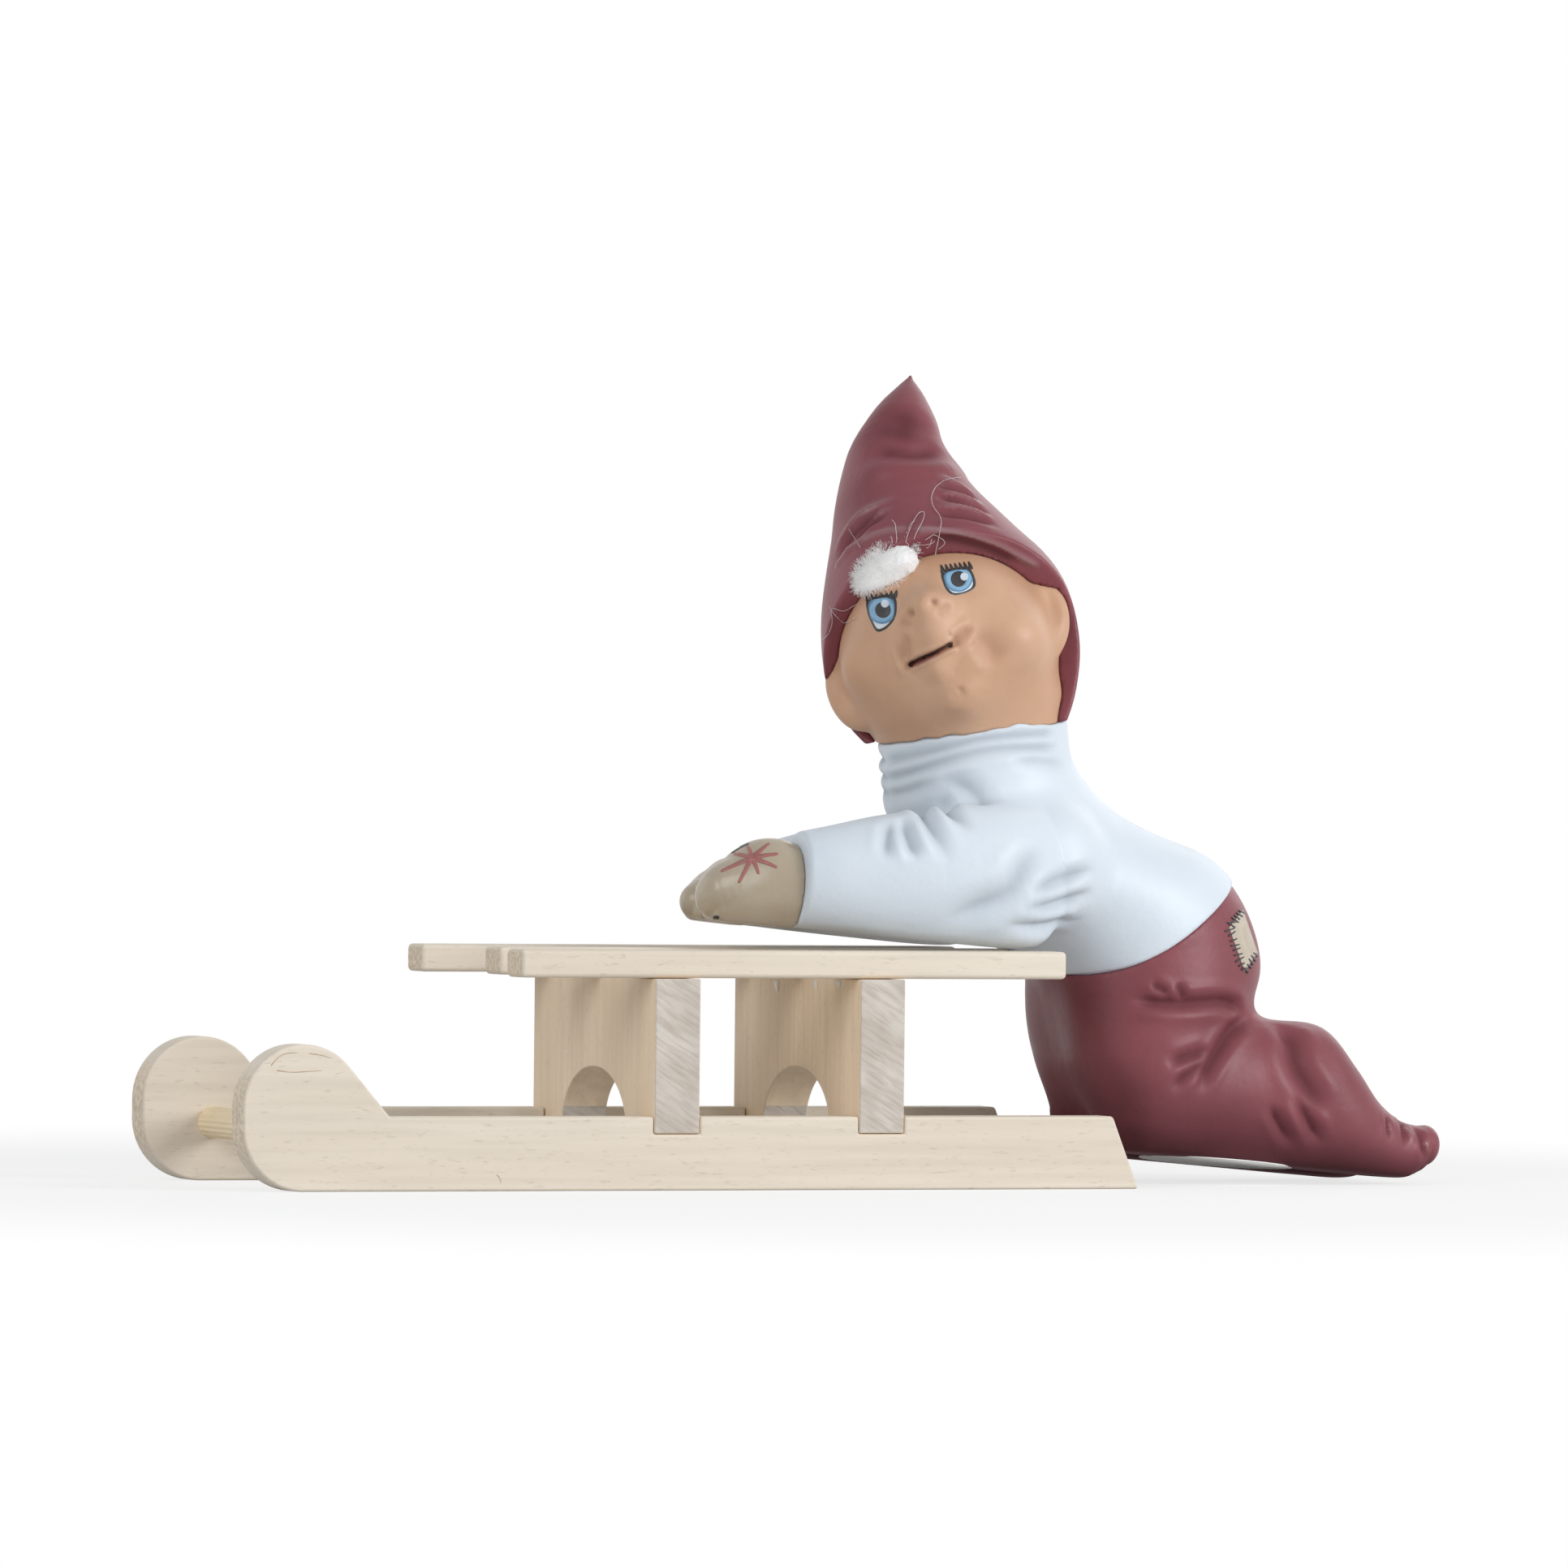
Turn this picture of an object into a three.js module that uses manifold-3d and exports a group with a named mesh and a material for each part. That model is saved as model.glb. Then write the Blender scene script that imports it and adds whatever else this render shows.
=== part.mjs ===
// A painted earthenware nisse leaning on the back of a small wooden sled.
// Millimetres, +Z up, sled nose towards -X, the figure's left side towards -Y.
// The sled is sawn boards, lapped and glued; the figure is a set of castings luted at their paint lines.
import * as THREE from 'three';
import { mergeVertices } from 'three/addons/utils/BufferGeometryUtils.js';
import Module from 'manifold-3d';

const wasm = await Module();
wasm.setup();

// Sled runners, measured along X from the nose
const SLED_WIDTH = 87.4;
const RUNNER_LENGTH = 243.7;
const RUNNER_HEIGHT = 18.7;
const RUNNER_THICKNESS = 9.4;
const NOSE_HEIGHT = 36.9;
const NOSE_RADIUS = 16;
const NOSE_SLOPE_END = 39;
const TAIL_SLANT = 7.3;

// Bolsters, the two arched boards lapped into the runners
const BOLSTER_X = 110;
const BOLSTER_SPACING = 56;
const BOLSTER_THICKNESS = 12.2;
const BOLSTER_TOP = 53.6;
const LAP_DEPTH = 4.4;
const ARCH_WIDTH = 46;
const ARCH_HEIGHT = 15.8;

// Deck slats
const DECK_X = 74.2;
const DECK_WIDTH = 84.6;
const SLAT_LENGTH = 149.4;
const SLAT_WIDTH = 11.3;
const SLAT_THICKNESS = 7.1;
const SLAT_CORNER = 1.3;
const MIDDLE_SETBACK = 7.7;

// Cross dowel between the noses, in blind holes
const DOWEL_X = 18.8;
const DOWEL_HEIGHT = 14.9;
const DOWEL_DIAMETER = 8;
const DOWEL_HOLE_DEPTH = 5;
const DOWEL_FIT = 0.15;

// Woodwork
const ARRIS = 0.6;
const GLUE_LINE = 0.15;

// Figure: it stands on its toes and leans its forearms on the deck.
// Its own frame has the toes' contact at the origin, -X forwards and +Z up.
const SEAM = 0.3;
const WALL = 4;
const TOES_BEHIND_DECK = 103;
const FOREARM_REST = 51.1;
const ELBOW_REACH = 117;
const BASE_ROLL = 3;
const BASE_EDGE = 20;

// Trunk in the side view: points [x, z] of the belly and of the back, from the seat up to the neck
const BELLY = [
  [-90.5, 26], [-93.8, 34], [-95.6, 39.5], [-98, 44], [-105, 49.5], [-112, 54], [-122, 60.5], [-135, 73],
  [-143.6, 87],
];
const BACK = [
  [-47, 31], [-38.4, 44.5], [-36.7, 56], [-43, 70.2], [-54, 80.6], [-70, 85.4], [-82.5, 90.2], [-91, 96.6],
  [-95.8, 103],
];
const COLLAR_FRONT = [-146.2, 101.6];
const COLLAR_BACK = [-97.8, 112];
const HIP_WIDTH = 59;
const CHEST_WIDTH = 57;
const NECK_WIDTH = 47;
const NECK_RISE = 7;
const NECK_STEP = 0.7;
const SWEATER_STEP = 0.9;
const HEM = { chest: [-102, 46], side: [-74, 55], hip: [-48.5, 75.5], tail: [-20, 92] };

// Arms in the side view, from the shoulder to the cuff, whose own points are measured from its edge.
// The right arm lies lower and reaches less far.
const SLEEVE_UNDER = [[-104, 58], [-115, 50], [-138, 49.5], [-156, 50]];
const SLEEVE_TOP = [[-112, 89], [-127, 88], [-143, 85], [-157, 81.8]];
const SLEEVE_WIDTH = 26;
const CUFF_REACH = 176;
const CUFF_WIDTH = 22.6;
const CUFF_TOP = [[7, 78], [-1, 75.6], [-6, 75]];
const CUFF_UNDER = [[8, 50.5], [0, 50.5], [-5, 50.5]];
const ARM_SPREAD = 27;
const FAR_ARM_DROP = 5;
const FAR_HAND_SHORT = 2.5;

// Mitten, measured from the cuff: points [x, z] of its back and of its palm
const MITTEN_BACK = [[7.5, 71], [0.6, 72.6], [-4.6, 73.6], [-9.6, 72.6], [-14, 69.2], [-17, 64.4]];
const MITTEN_PALM = [[8, 49], [1, 49], [-4, 49], [-9, 49], [-13.6, 49.4], [-16.8, 50]];
const MITTEN_WIDTH = 21.4;

// Legs in the side view: the thigh from the hip to the knee, and the shin from the knee to the toes
const THIGH_FRONT = [[-91, 47], [-92.4, 40], [-91, 30], [-87, 20]];
const THIGH_BACK = [[-53, 50], [-51.5, 38], [-51, 26], [-54, 14]];
const SHIN_FRONT = [
  [-73.5, -1], [-52, -1], [-36, -1], [-25, -1], [-18, -1], [-11, -0.8], [-3, -0.6], [4.5, 1.5], [9.5, 5.5],
];
const CALF = [
  [-69, 38], [-50, 40], [-36, 39.9], [-23, 39.2], [-13.5, 30.5], [-6, 22], [1, 17.3], [6.5, 16], [10, 16.3],
];
const LEG_SPREAD = 14.8;
const LEG_WIDTH = 30.6;
const TOE_WIDTH = 15;

// Head: the middle of its ear line, ahead of the toes and over the floor; unturned, it faces -Y
const HEAD_FORWARD = 130.8;
const HEAD_RISE = 125.6;
const HEAD_TURN = -25.5;
const HEAD_ROLL = -26.6;
const HEAD_TIP = -22;
const HEAD_WIDTH = 57;
const HEAD_DEPTH = 57;
const HEAD_HEIGHT = 58;
const EAR_HEIGHT = 21.6;
const EAR_WIDTH = 12.8;
const EAR_THICKNESS = 8;
const EAR_TURN = 24;
const RIGHT_EAR_LEAN = 4;
const LEFT_EAR_LEAN = 15;
const EAR_SINK = 1.5;
const EAR_DROP = 1;

// Hat. The insets tell how far each ring lies inside the widest one, from the nape up to the tip.
const HOOD_WALL = 5.2;
const HAT_HEIGHT = 80;
const HAT_TIP_SIDE = 17;
const HAT_INSETS = [
  18.7, 13.7, 8.8, 5.1, 1.9, 0, 0.5, 2.35, 5.4, 9.55, 13.3, 16.35, 19.6, 21.9, 26.4, 30.3, 32.3,
];
const BROW_INSETS = [0, 0, 0, 0, 0, 0.6, 1.6, 2.6, 2.4, 1.8, 1];
const BRIM_SLOPE = 38;
const BRIM_BACK = 2.5;
const BRIM_CURVE = 6;
const NAPE_BACK = 3;
const NAPE_DROP = 16;
const NAPE_FULLNESS = 1;

// Wool tuft on the brim
const TUFT_WIDTH = 21;
const TUFT_HEIGHT = 15;
const TUFT_DEPTH = 12;
const TUFT_TURN = -9;
const TUFT_LIFT = 29;
const TUFT_SINK = 0.5;

const SLED_COLOUR = 0xe3d3b8;
const BOLSTER_COLOUR = 0xcdb896;
const BURGUNDY = 0x7a3f47;
const SWEATER_COLOUR = 0xdde6ee;
const SKIN_COLOUR = 0xc99f7f;
const MITTEN_COLOUR = 0xb3a58d;
const WOOL_COLOUR = 0xe6e4e0;

const DECK_TOP = BOLSTER_TOP + GLUE_LINE + SLAT_THICKNESS;
const LAP_FLOOR = RUNNER_HEIGHT - LAP_DEPTH;
const DECK_END = DECK_X + SLAT_LENGTH;
const TOES_X = DECK_END + TOES_BEHIND_DECK;
// The lean that brings the elbows down on the deck while the toes are on the floor
const LEAN = Math.asin((DECK_TOP + SEAM) / Math.hypot(ELBOW_REACH, FOREARM_REST))
  - Math.atan2(FOREARM_REST, ELBOW_REACH);
const TOE_TIP = 15;
const TOTAL_LENGTH = TOES_X + TOE_TIP;
const FAR = 400;
const HOLLOW = { sides: 12, steps: 1 };
const TO_RAD = Math.PI / 180;

// Solids

function solidOf(geometry) {
  const bare = geometry.clone();
  bare.deleteAttribute('normal');
  bare.deleteAttribute('uv');
  const merged = mergeVertices(bare, 1e-4);
  return new wasm.Manifold(new wasm.Mesh({
    numProp: 3,
    vertProperties: new Float32Array(merged.attributes.position.array),
    triVerts: new Uint32Array(merged.index.array),
  }));
}

function geometryOf(solid) {
  const mesh = solid.getMesh();
  const geometry = new THREE.BufferGeometry();
  geometry.setAttribute('position', new THREE.BufferAttribute(mesh.vertProperties, 3));
  geometry.setIndex(new THREE.BufferAttribute(mesh.triVerts, 1));
  geometry.computeVertexNormals();
  return geometry;
}

function box(low, high) {
  const size = high.map((top, axis) => top - low[axis]);
  const centre = high.map((top, axis) => (top + low[axis]) / 2);
  return new THREE.BoxGeometry(...size).translate(...centre);
}

function piece(name, geometry, colour, roughness) {
  const material = new THREE.MeshStandardMaterial({ color: colour, roughness, metalness: 0 });
  const mesh = new THREE.Mesh(geometry, material);
  mesh.name = name;
  return mesh;
}

// An outline extruded between two planes, its sharp edges taken off, with the outline's size kept.
function board(shape, thickness, across, curveSegments = 12) {
  const geometry = new THREE.ExtrudeGeometry(shape, {
    depth: thickness - 2 * ARRIS,
    bevelThickness: ARRIS,
    bevelSize: ARRIS,
    bevelOffset: -ARRIS,
    bevelSegments: 1,
    curveSegments,
  });
  geometry.translate(0, 0, ARRIS);
  return geometry.applyMatrix4(across);
}

const ALONG_SLED = new THREE.Matrix4().makeBasis(
  new THREE.Vector3(0, 1, 0), new THREE.Vector3(0, 0, 1), new THREE.Vector3(1, 0, 0));
const ACROSS_SLED = new THREE.Matrix4().makeBasis(
  new THREE.Vector3(1, 0, 0), new THREE.Vector3(0, 0, 1), new THREE.Vector3(0, -1, 0));

// Oval sections swept along the body: each station is the section's low end and its high end in the
// side view, its place across and its half width. grow makes the form larger all round.
function loft(stations, { sides = 18, steps = 2, grow = 0, startCap = 1, endCap = 1 } = {}) {
  const across = new THREE.Vector3(0, 1, 0);
  const through = (pick) => new THREE.CatmullRomCurve3(stations.map(pick));
  const low = through(({ low: [x, z], y }) => new THREE.Vector3(x, y, z));
  const high = through(({ high: [x, z], y }) => new THREE.Vector3(x, y, z));
  const widths = through(({ width }) => new THREE.Vector3(width, 0, 0));
  const centreAt = (t) => low.getPoint(t).lerp(high.getPoint(t), 0.5);
  const rings = [];
  const addRing = (t, axis, shift, shrink) => {
    const rise = high.getPoint(t).sub(low.getPoint(t)).multiplyScalar(0.5);
    rise.setLength((rise.length() + grow) * shrink);
    const side = across.clone().setLength((widths.getPoint(t).x + grow) * shrink);
    rings.push({ centre: centreAt(t).addScaledVector(axis, shift), side, rise });
  };
  const END_STEP = 0.02;
  const CAP_ANGLES = [25, 50, 72];
  const cap = (t, inner, bulge) => {
    const axis = centreAt(t).sub(centreAt(inner)).normalize();
    const reach = bulge * (high.getPoint(t).distanceTo(low.getPoint(t)) / 2 + grow);
    const angles = bulge ? CAP_ANGLES : [];
    const pole = centreAt(t).addScaledVector(axis, reach);
    return { axis, reach, angles, pole };
  };
  const start = cap(0, END_STEP, startCap);
  const end = cap(1, 1 - END_STEP, endCap);
  const count = (stations.length - 1) * steps;
  const domed = ({ axis, reach }, t) => (angle) => {
    addRing(t, axis, reach * Math.sin(angle * TO_RAD), Math.cos(angle * TO_RAD));
  };
  start.angles.toReversed().forEach(domed(start, 0));
  for (let i = 0; i <= count; i += 1) {
    addRing(i / count, end.axis, 0, 1);
  }
  end.angles.forEach(domed(end, 1));
  return skin(rings, [start.pole, end.pole], sides);
}

// Closes the rings into one skin that faces out whichever way the rings run
function skin(rings, poles, sides) {
  const points = [];
  const middle = rings[Math.floor(rings.length / 2)];
  const travel = poles[1].clone().sub(poles[0]);
  const hand = travel.dot(middle.side.clone().cross(middle.rise)) > 0 ? -1 : 1;
  rings.forEach(({ centre, side, rise }) => {
    for (let k = 0; k < sides; k += 1) {
      const angle = (2 * Math.PI * k) / sides;
      const point = centre.clone()
        .addScaledVector(side, hand * Math.cos(angle))
        .addScaledVector(rise, Math.sin(angle));
      points.push(...point);
    }
  });
  poles.forEach((pole) => points.push(...pole));
  const start = rings.length * sides;
  const last = start - sides;
  const faces = [];
  for (let k = 0; k < sides; k += 1) {
    const next = (k + 1) % sides;
    faces.push(start, k, next, start + 1, last + next, last + k);
    for (let r = 0; r + 1 < rings.length; r += 1) {
      const near = r * sides;
      const far = near + sides;
      faces.push(near + k, far + next, near + next, near + k, far + k, far + next);
    }
  }
  const geometry = new THREE.BufferGeometry();
  geometry.setAttribute('position', new THREE.Float32BufferAttribute(points, 3));
  geometry.setIndex(faces);
  return geometry;
}

// Sled pieces

function runnerOutline() {
  const crown = new THREE.Vector2(NOSE_RADIUS, NOSE_HEIGHT - NOSE_RADIUS);
  const away = new THREE.Vector2(NOSE_SLOPE_END, RUNNER_HEIGHT).sub(crown);
  const leave = Math.atan2(away.y, away.x) + Math.acos(NOSE_RADIUS / away.length());
  const shape = new THREE.Shape();
  shape.moveTo(RUNNER_LENGTH, 0);
  shape.lineTo(RUNNER_LENGTH - TAIL_SLANT, RUNNER_HEIGHT);
  shape.lineTo(NOSE_SLOPE_END, RUNNER_HEIGHT);
  shape.absarc(crown.x, crown.y, NOSE_RADIUS, leave, Math.PI, false);
  shape.absarc(NOSE_RADIUS, NOSE_RADIUS, NOSE_RADIUS, Math.PI, 1.5 * Math.PI, false);
  shape.closePath();
  return shape;
}

const BOLSTER_PLACES = { front: BOLSTER_X, rear: BOLSTER_X + BOLSTER_SPACING };

function runner(side) {
  const outer = (side * SLED_WIDTH) / 2;
  const inner = outer - side * RUNNER_THICKNESS;
  const blank = board(runnerOutline(), RUNNER_THICKNESS, ACROSS_SLED)
    .translate(0, Math.max(outer, inner), 0);
  let solid = solidOf(blank);
  Object.values(BOLSTER_PLACES).forEach((x) => {
    const notch = box(
      [x - GLUE_LINE, -SLED_WIDTH, LAP_FLOOR],
      [x + BOLSTER_THICKNESS + GLUE_LINE, SLED_WIDTH, NOSE_HEIGHT]);
    solid = solid.subtract(solidOf(notch));
  });
  const hole = new THREE.CylinderGeometry(
    DOWEL_DIAMETER / 2 + DOWEL_FIT, DOWEL_DIAMETER / 2 + DOWEL_FIT, 2 * DOWEL_HOLE_DEPTH, 24);
  hole.translate(DOWEL_X, inner, DOWEL_HEIGHT);
  return geometryOf(solid.subtract(solidOf(hole)));
}

function bolster(x) {
  const low = LAP_FLOOR + GLUE_LINE;
  const half = SLED_WIDTH / 2;
  const shape = new THREE.Shape();
  shape.moveTo(-half, low);
  shape.lineTo(-ARCH_WIDTH / 2, low);
  shape.absellipse(0, low, ARCH_WIDTH / 2, ARCH_HEIGHT, Math.PI, 0, true);
  shape.lineTo(half, low);
  shape.lineTo(half, BOLSTER_TOP);
  shape.lineTo(-half, BOLSTER_TOP);
  shape.closePath();
  return board(shape, BOLSTER_THICKNESS, ALONG_SLED).translate(x, 0, 0);
}

function slat(y, setback) {
  const w = SLAT_WIDTH / 2;
  const h = SLAT_THICKNESS;
  const r = SLAT_CORNER;
  const shape = new THREE.Shape();
  shape.absarc(w - r, r, r, -Math.PI / 2, 0, false);
  shape.absarc(w - r, h - r, r, 0, Math.PI / 2, false);
  shape.absarc(r - w, h - r, r, Math.PI / 2, Math.PI, false);
  shape.absarc(r - w, r, r, Math.PI, 1.5 * Math.PI, false);
  shape.closePath();
  return board(shape, SLAT_LENGTH - setback, ALONG_SLED, 4)
    .translate(DECK_X + setback, y, DECK_TOP - SLAT_THICKNESS);
}

function noseDowel() {
  const innerWidth = SLED_WIDTH - 2 * RUNNER_THICKNESS;
  const length = innerWidth + 2 * (DOWEL_HOLE_DEPTH - DOWEL_FIT);
  return new THREE.CylinderGeometry(DOWEL_DIAMETER / 2, DOWEL_DIAMETER / 2, length, 24)
    .translate(DOWEL_X, 0, DOWEL_HEIGHT);
}

const sled = new THREE.Group();
sled.add(piece('runner_left', runner(-1), SLED_COLOUR, 0.62));
sled.add(piece('runner_right', runner(1), SLED_COLOUR, 0.62));
Object.entries(BOLSTER_PLACES).forEach(([name, x]) => {
  sled.add(piece(`bolster_${name}`, bolster(x), BOLSTER_COLOUR, 0.68));
});
const OUTER_SLAT = (DECK_WIDTH - SLAT_WIDTH) / 2;
sled.add(piece('slat_left', slat(-OUTER_SLAT, 0), SLED_COLOUR, 0.6));
sled.add(piece('slat_middle', slat(0, MIDDLE_SETBACK), SLED_COLOUR, 0.6));
sled.add(piece('slat_right', slat(OUTER_SLAT, 0), SLED_COLOUR, 0.6));
sled.add(piece('nose_dowel', noseDowel(), SLED_COLOUR, 0.6));

// Figure: its place on the sled, and the sled's deck seen from its own frame

const figure = new THREE.Group();
figure.position.set(TOES_X, 0, 0);
figure.rotation.y = LEAN;
figure.updateMatrix();
const deckSpace = solidOf(
  box([DECK_X - FAR, -FAR, 0], [DECK_END + SEAM, FAR, DECK_TOP + SEAM])
    .applyMatrix4(figure.matrix.clone().invert()));

// Joins the points of a low line and a high line into a loft's stations
function stationsOf(low, high, places, widths) {
  return low.map((point, i) => ({ low: point, high: high[i], y: places[i], width: widths[i] }));
}

const raised = ([x, z]) => [x, z + NECK_RISE];

// Trunk from the seat up to the collar, bent forward over the deck
function trunk(grow, { sides = 24, steps = 2 } = {}) {
  const hip = HIP_WIDTH / 2;
  const chest = CHEST_WIDTH / 2;
  const neck = NECK_WIDTH / 2;
  const waist = (hip + chest) / 2;
  const shoulder = (chest + neck) / 2;
  const widths = [hip - 4, hip - 1, hip, hip, waist, chest, chest - 1, shoulder, neck + 0.8, neck];
  const stations = stationsOf(
    [...BELLY, COLLAR_FRONT], [...BACK, COLLAR_BACK], widths.map(() => 0), widths);
  return solidOf(loft(stations, { sides, steps, grow, startCap: 0.8, endCap: 0 }));
}

// The neck, from inside the sweater up through the collar
function neckForm(grow, endCap, facets) {
  const widths = [NECK_WIDTH / 2, NECK_WIDTH / 2, NECK_WIDTH / 2];
  const stations = stationsOf(
    [BELLY.at(-1), COLLAR_FRONT, raised(COLLAR_FRONT)],
    [BACK.at(-1), COLLAR_BACK, raised(COLLAR_BACK)], [0, 0, 0], widths);
  return loft(stations, { ...facets, grow, startCap: 0, endCap });
}

// The hollow of the trunk, which runs out through the collar
function trunkHollow(grow) {
  return trunk(grow, HOLLOW).add(solidOf(neckForm(grow - NECK_STEP, 0, HOLLOW)));
}

// The side of the hem that the sweater is on, a curtain across the body
function aboveHem(drop) {
  const at = ([x, z]) => [x, z - drop];
  const turn = [(HEM.chest[0] + HEM.side[0]) / 2, HEM.chest[1]];
  const shape = new THREE.Shape();
  shape.moveTo(-FAR, HEM.chest[1] - drop);
  shape.lineTo(...at(HEM.chest));
  shape.quadraticCurveTo(...at(turn), ...at(HEM.side));
  shape.lineTo(...at(HEM.hip));
  shape.lineTo(...at(HEM.tail));
  shape.lineTo(HEM.tail[0], FAR);
  shape.lineTo(-FAR, FAR);
  shape.closePath();
  const curtain = new THREE.ExtrudeGeometry(shape, { depth: 2 * FAR, bevelEnabled: false, curveSegments: 8 });
  return solidOf(curtain.applyMatrix4(ACROSS_SLED).translate(0, FAR, 0));
}

function seat(grow) {
  return trunk(grow - SWEATER_STEP).subtract(aboveHem(SEAM - grow));
}

function sweaterBody() {
  return trunk(0).intersect(aboveHem(0)).subtract(trunkHollow(-WALL)).subtract(deckSpace);
}

function trousersSeat() {
  return seat(0).subtract(trunkHollow(-WALL - SWEATER_STEP));
}

// One half of the space, on the given side of the middle plane
function halfSpace(side) {
  const near = (side * SEAM) / 2;
  const far = side * FAR;
  return solidOf(box([-FAR, Math.min(near, far), -FAR], [FAR, Math.max(near, far), FAR]));
}

// What lies in front of the cuff, with the seam added to either side of it
function beyondCuff(gap) {
  return solidOf(box([-FAR, -FAR, -FAR], [-CUFF_REACH - gap, FAR, FAR]));
}

const isFar = (side) => side > 0;

function sleeve(side) {
  const w = SLEEVE_WIDTH / 2;
  const wrist = CUFF_WIDTH / 2;
  const drop = isFar(side) ? FAR_ARM_DROP : 0;
  const drops = [0, drop / 2, drop, drop, drop, drop, drop];
  const atCuff = ([x, z]) => [x - CUFF_REACH, z];
  const under = [...SLEEVE_UNDER, ...CUFF_UNDER.map(atCuff)];
  const top = [...SLEEVE_TOP, ...CUFF_TOP.map(atCuff)];
  const shares = [0.85, 1, 1, 0.93, 0.83, 0.72, 0.66];
  const widths = [w - 1, w + 1, w + 0.4, w - 0.6, wrist + 0.5, wrist, wrist];
  const stations = stationsOf(
    under, top.map(([x, z], i) => [x, z - drops[i]]),
    shares.map((share) => side * ARM_SPREAD * share), widths);
  const arm = solidOf(loft(stations, { endCap: 0 }));
  const hollow = solidOf(loft(stations, { ...HOLLOW, grow: -WALL, endCap: 0 }));
  const below = solidOf(box([-FAR, -FAR, -FAR], [FAR, FAR, FOREARM_REST]));
  return arm.subtract(hollow).subtract(trunk(SEAM)).subtract(seat(SEAM)).subtract(deckSpace)
    .subtract(below).subtract(beyondCuff(0)).intersect(halfSpace(side));
}

function mitten(side) {
  const w = MITTEN_WIDTH / 2;
  const drop = isFar(side) ? FAR_ARM_DROP : 0;
  const cuff = CUFF_REACH - (isFar(side) ? FAR_HAND_SHORT : 0);
  const shares = [0.78, 0.68, 0.6, 0.51, 0.43, 0.36];
  const widths = [w - 1.4, w - 0.6, w, w, w - 1, w - 2.8];
  const stations = stationsOf(
    MITTEN_PALM.map(([x, z]) => [x - cuff, z]),
    MITTEN_BACK.map(([x, z]) => [x - cuff, z - drop]),
    shares.map((share) => side * ARM_SPREAD * share), widths);
  const hand = solidOf(loft(stations, { startCap: 0, endCap: 0.42 }));
  const hollow = solidOf(
    loft(stations.slice(0, -1), { ...HOLLOW, grow: -WALL, startCap: 0, endCap: 0.3 }));
  const below = solidOf(box([-FAR, -FAR, -FAR], [FAR, FAR, FOREARM_REST]));
  return hand.subtract(hollow).intersect(beyondCuff(SEAM)).subtract(below).intersect(halfSpace(side));
}

// Below the ground plane, which is rolled so that the left leg stands a little off the floor
function underBase() {
  const ground = box([-FAR, -FAR, -FAR], [FAR, FAR, 0]);
  ground.rotateX(-BASE_ROLL * TO_RAD).translate(0, BASE_EDGE, 0);
  return solidOf(ground);
}

// The toes are cast solid: the hollow stops at the ankle
const HOLLOW_STATIONS = 6;

function leg(side) {
  const w = LEG_WIDTH / 2;
  const toe = TOE_WIDTH / 2;
  const y = side * LEG_SPREAD;
  const thigh = stationsOf(THIGH_FRONT, THIGH_BACK, THIGH_FRONT.map(() => y), THIGH_FRONT.map(() => w));
  const widths = [w, w, w, w, w - 1, w - 3, toe + 2.4, toe + 0.4, toe - 1.4];
  const shin = stationsOf(SHIN_FRONT, CALF, widths.map(() => y), widths);
  const form = (shinStations, facets) => solidOf(loft(thigh, { ...facets, startCap: 0.3, endCap: 0.65 }))
    .add(solidOf(loft(shinStations, { ...facets, startCap: 0.5, endCap: 0.75 })));
  const hollow = form(shin.slice(0, HOLLOW_STATIONS), { ...HOLLOW, grow: -WALL });
  const sweater = trunk(SEAM).intersect(aboveHem(SEAM));
  return form(shin, { sides: 16 }).subtract(hollow).subtract(seat(SEAM)).subtract(sweater)
    .subtract(underBase()).intersect(halfSpace(side));
}

// Head: an egg with gaussian swellings for the nose, cheeks, muzzle and chin, and hollows for the eyes

const headGroup = new THREE.Group();
headGroup.position.set(-HEAD_FORWARD, 0, HEAD_RISE);
headGroup.rotation.set(HEAD_TIP * TO_RAD, HEAD_ROLL * TO_RAD, HEAD_TURN * TO_RAD, 'ZYX');
headGroup.updateMatrix();
const intoHead = headGroup.matrix.clone().invert();

function facing(turn, lift) {
  const level = Math.cos(lift * TO_RAD);
  return new THREE.Vector3(
    Math.sin(turn * TO_RAD) * level, -Math.cos(turn * TO_RAD) * level, Math.sin(lift * TO_RAD));
}

const FACE = [
  { name: 'nose', turn: 0, lift: 2, spread: 8.5, height: 5.6 },
  { name: 'right cheek', turn: -33, lift: -14, spread: 17, height: 2.4 },
  { name: 'left cheek', turn: 33, lift: -14, spread: 17, height: 2.4 },
  { name: 'muzzle', turn: 0, lift: -19, spread: 12, height: 2.6 },
  { name: 'chin', turn: 0, lift: -41, spread: 12, height: 2.8 },
  { name: 'right eye', turn: -23, lift: 14, spread: 9, height: -1 },
  { name: 'left eye', turn: 23, lift: 14, spread: 9, height: -1 },
  { name: 'right mouth corner', turn: -17, lift: -19, spread: 5, height: -1.6 },
  { name: 'left mouth corner', turn: 17, lift: -17, spread: 5, height: -1.6 },
];

function skull(grow, around = 26, down = 18) {
  const geometry = new THREE.SphereGeometry(1, around, down);
  const points = geometry.attributes.position;
  const point = new THREE.Vector3();
  for (let i = 0; i < points.count; i += 1) {
    point.fromBufferAttribute(points, i).normalize();
    const swell = FACE.reduce((sum, { turn, lift, spread, height }) => {
      const off = point.angleTo(facing(turn, lift)) / (spread * TO_RAD);
      return sum + height * Math.exp(-off * off);
    }, grow);
    const egg = new THREE.Vector3(point.x * HEAD_WIDTH, point.y * HEAD_DEPTH, point.z * HEAD_HEIGHT);
    point.multiplyScalar(egg.length() / 2 + swell);
    points.setXYZ(i, ...point);
  }
  return solidOf(geometry);
}

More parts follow.
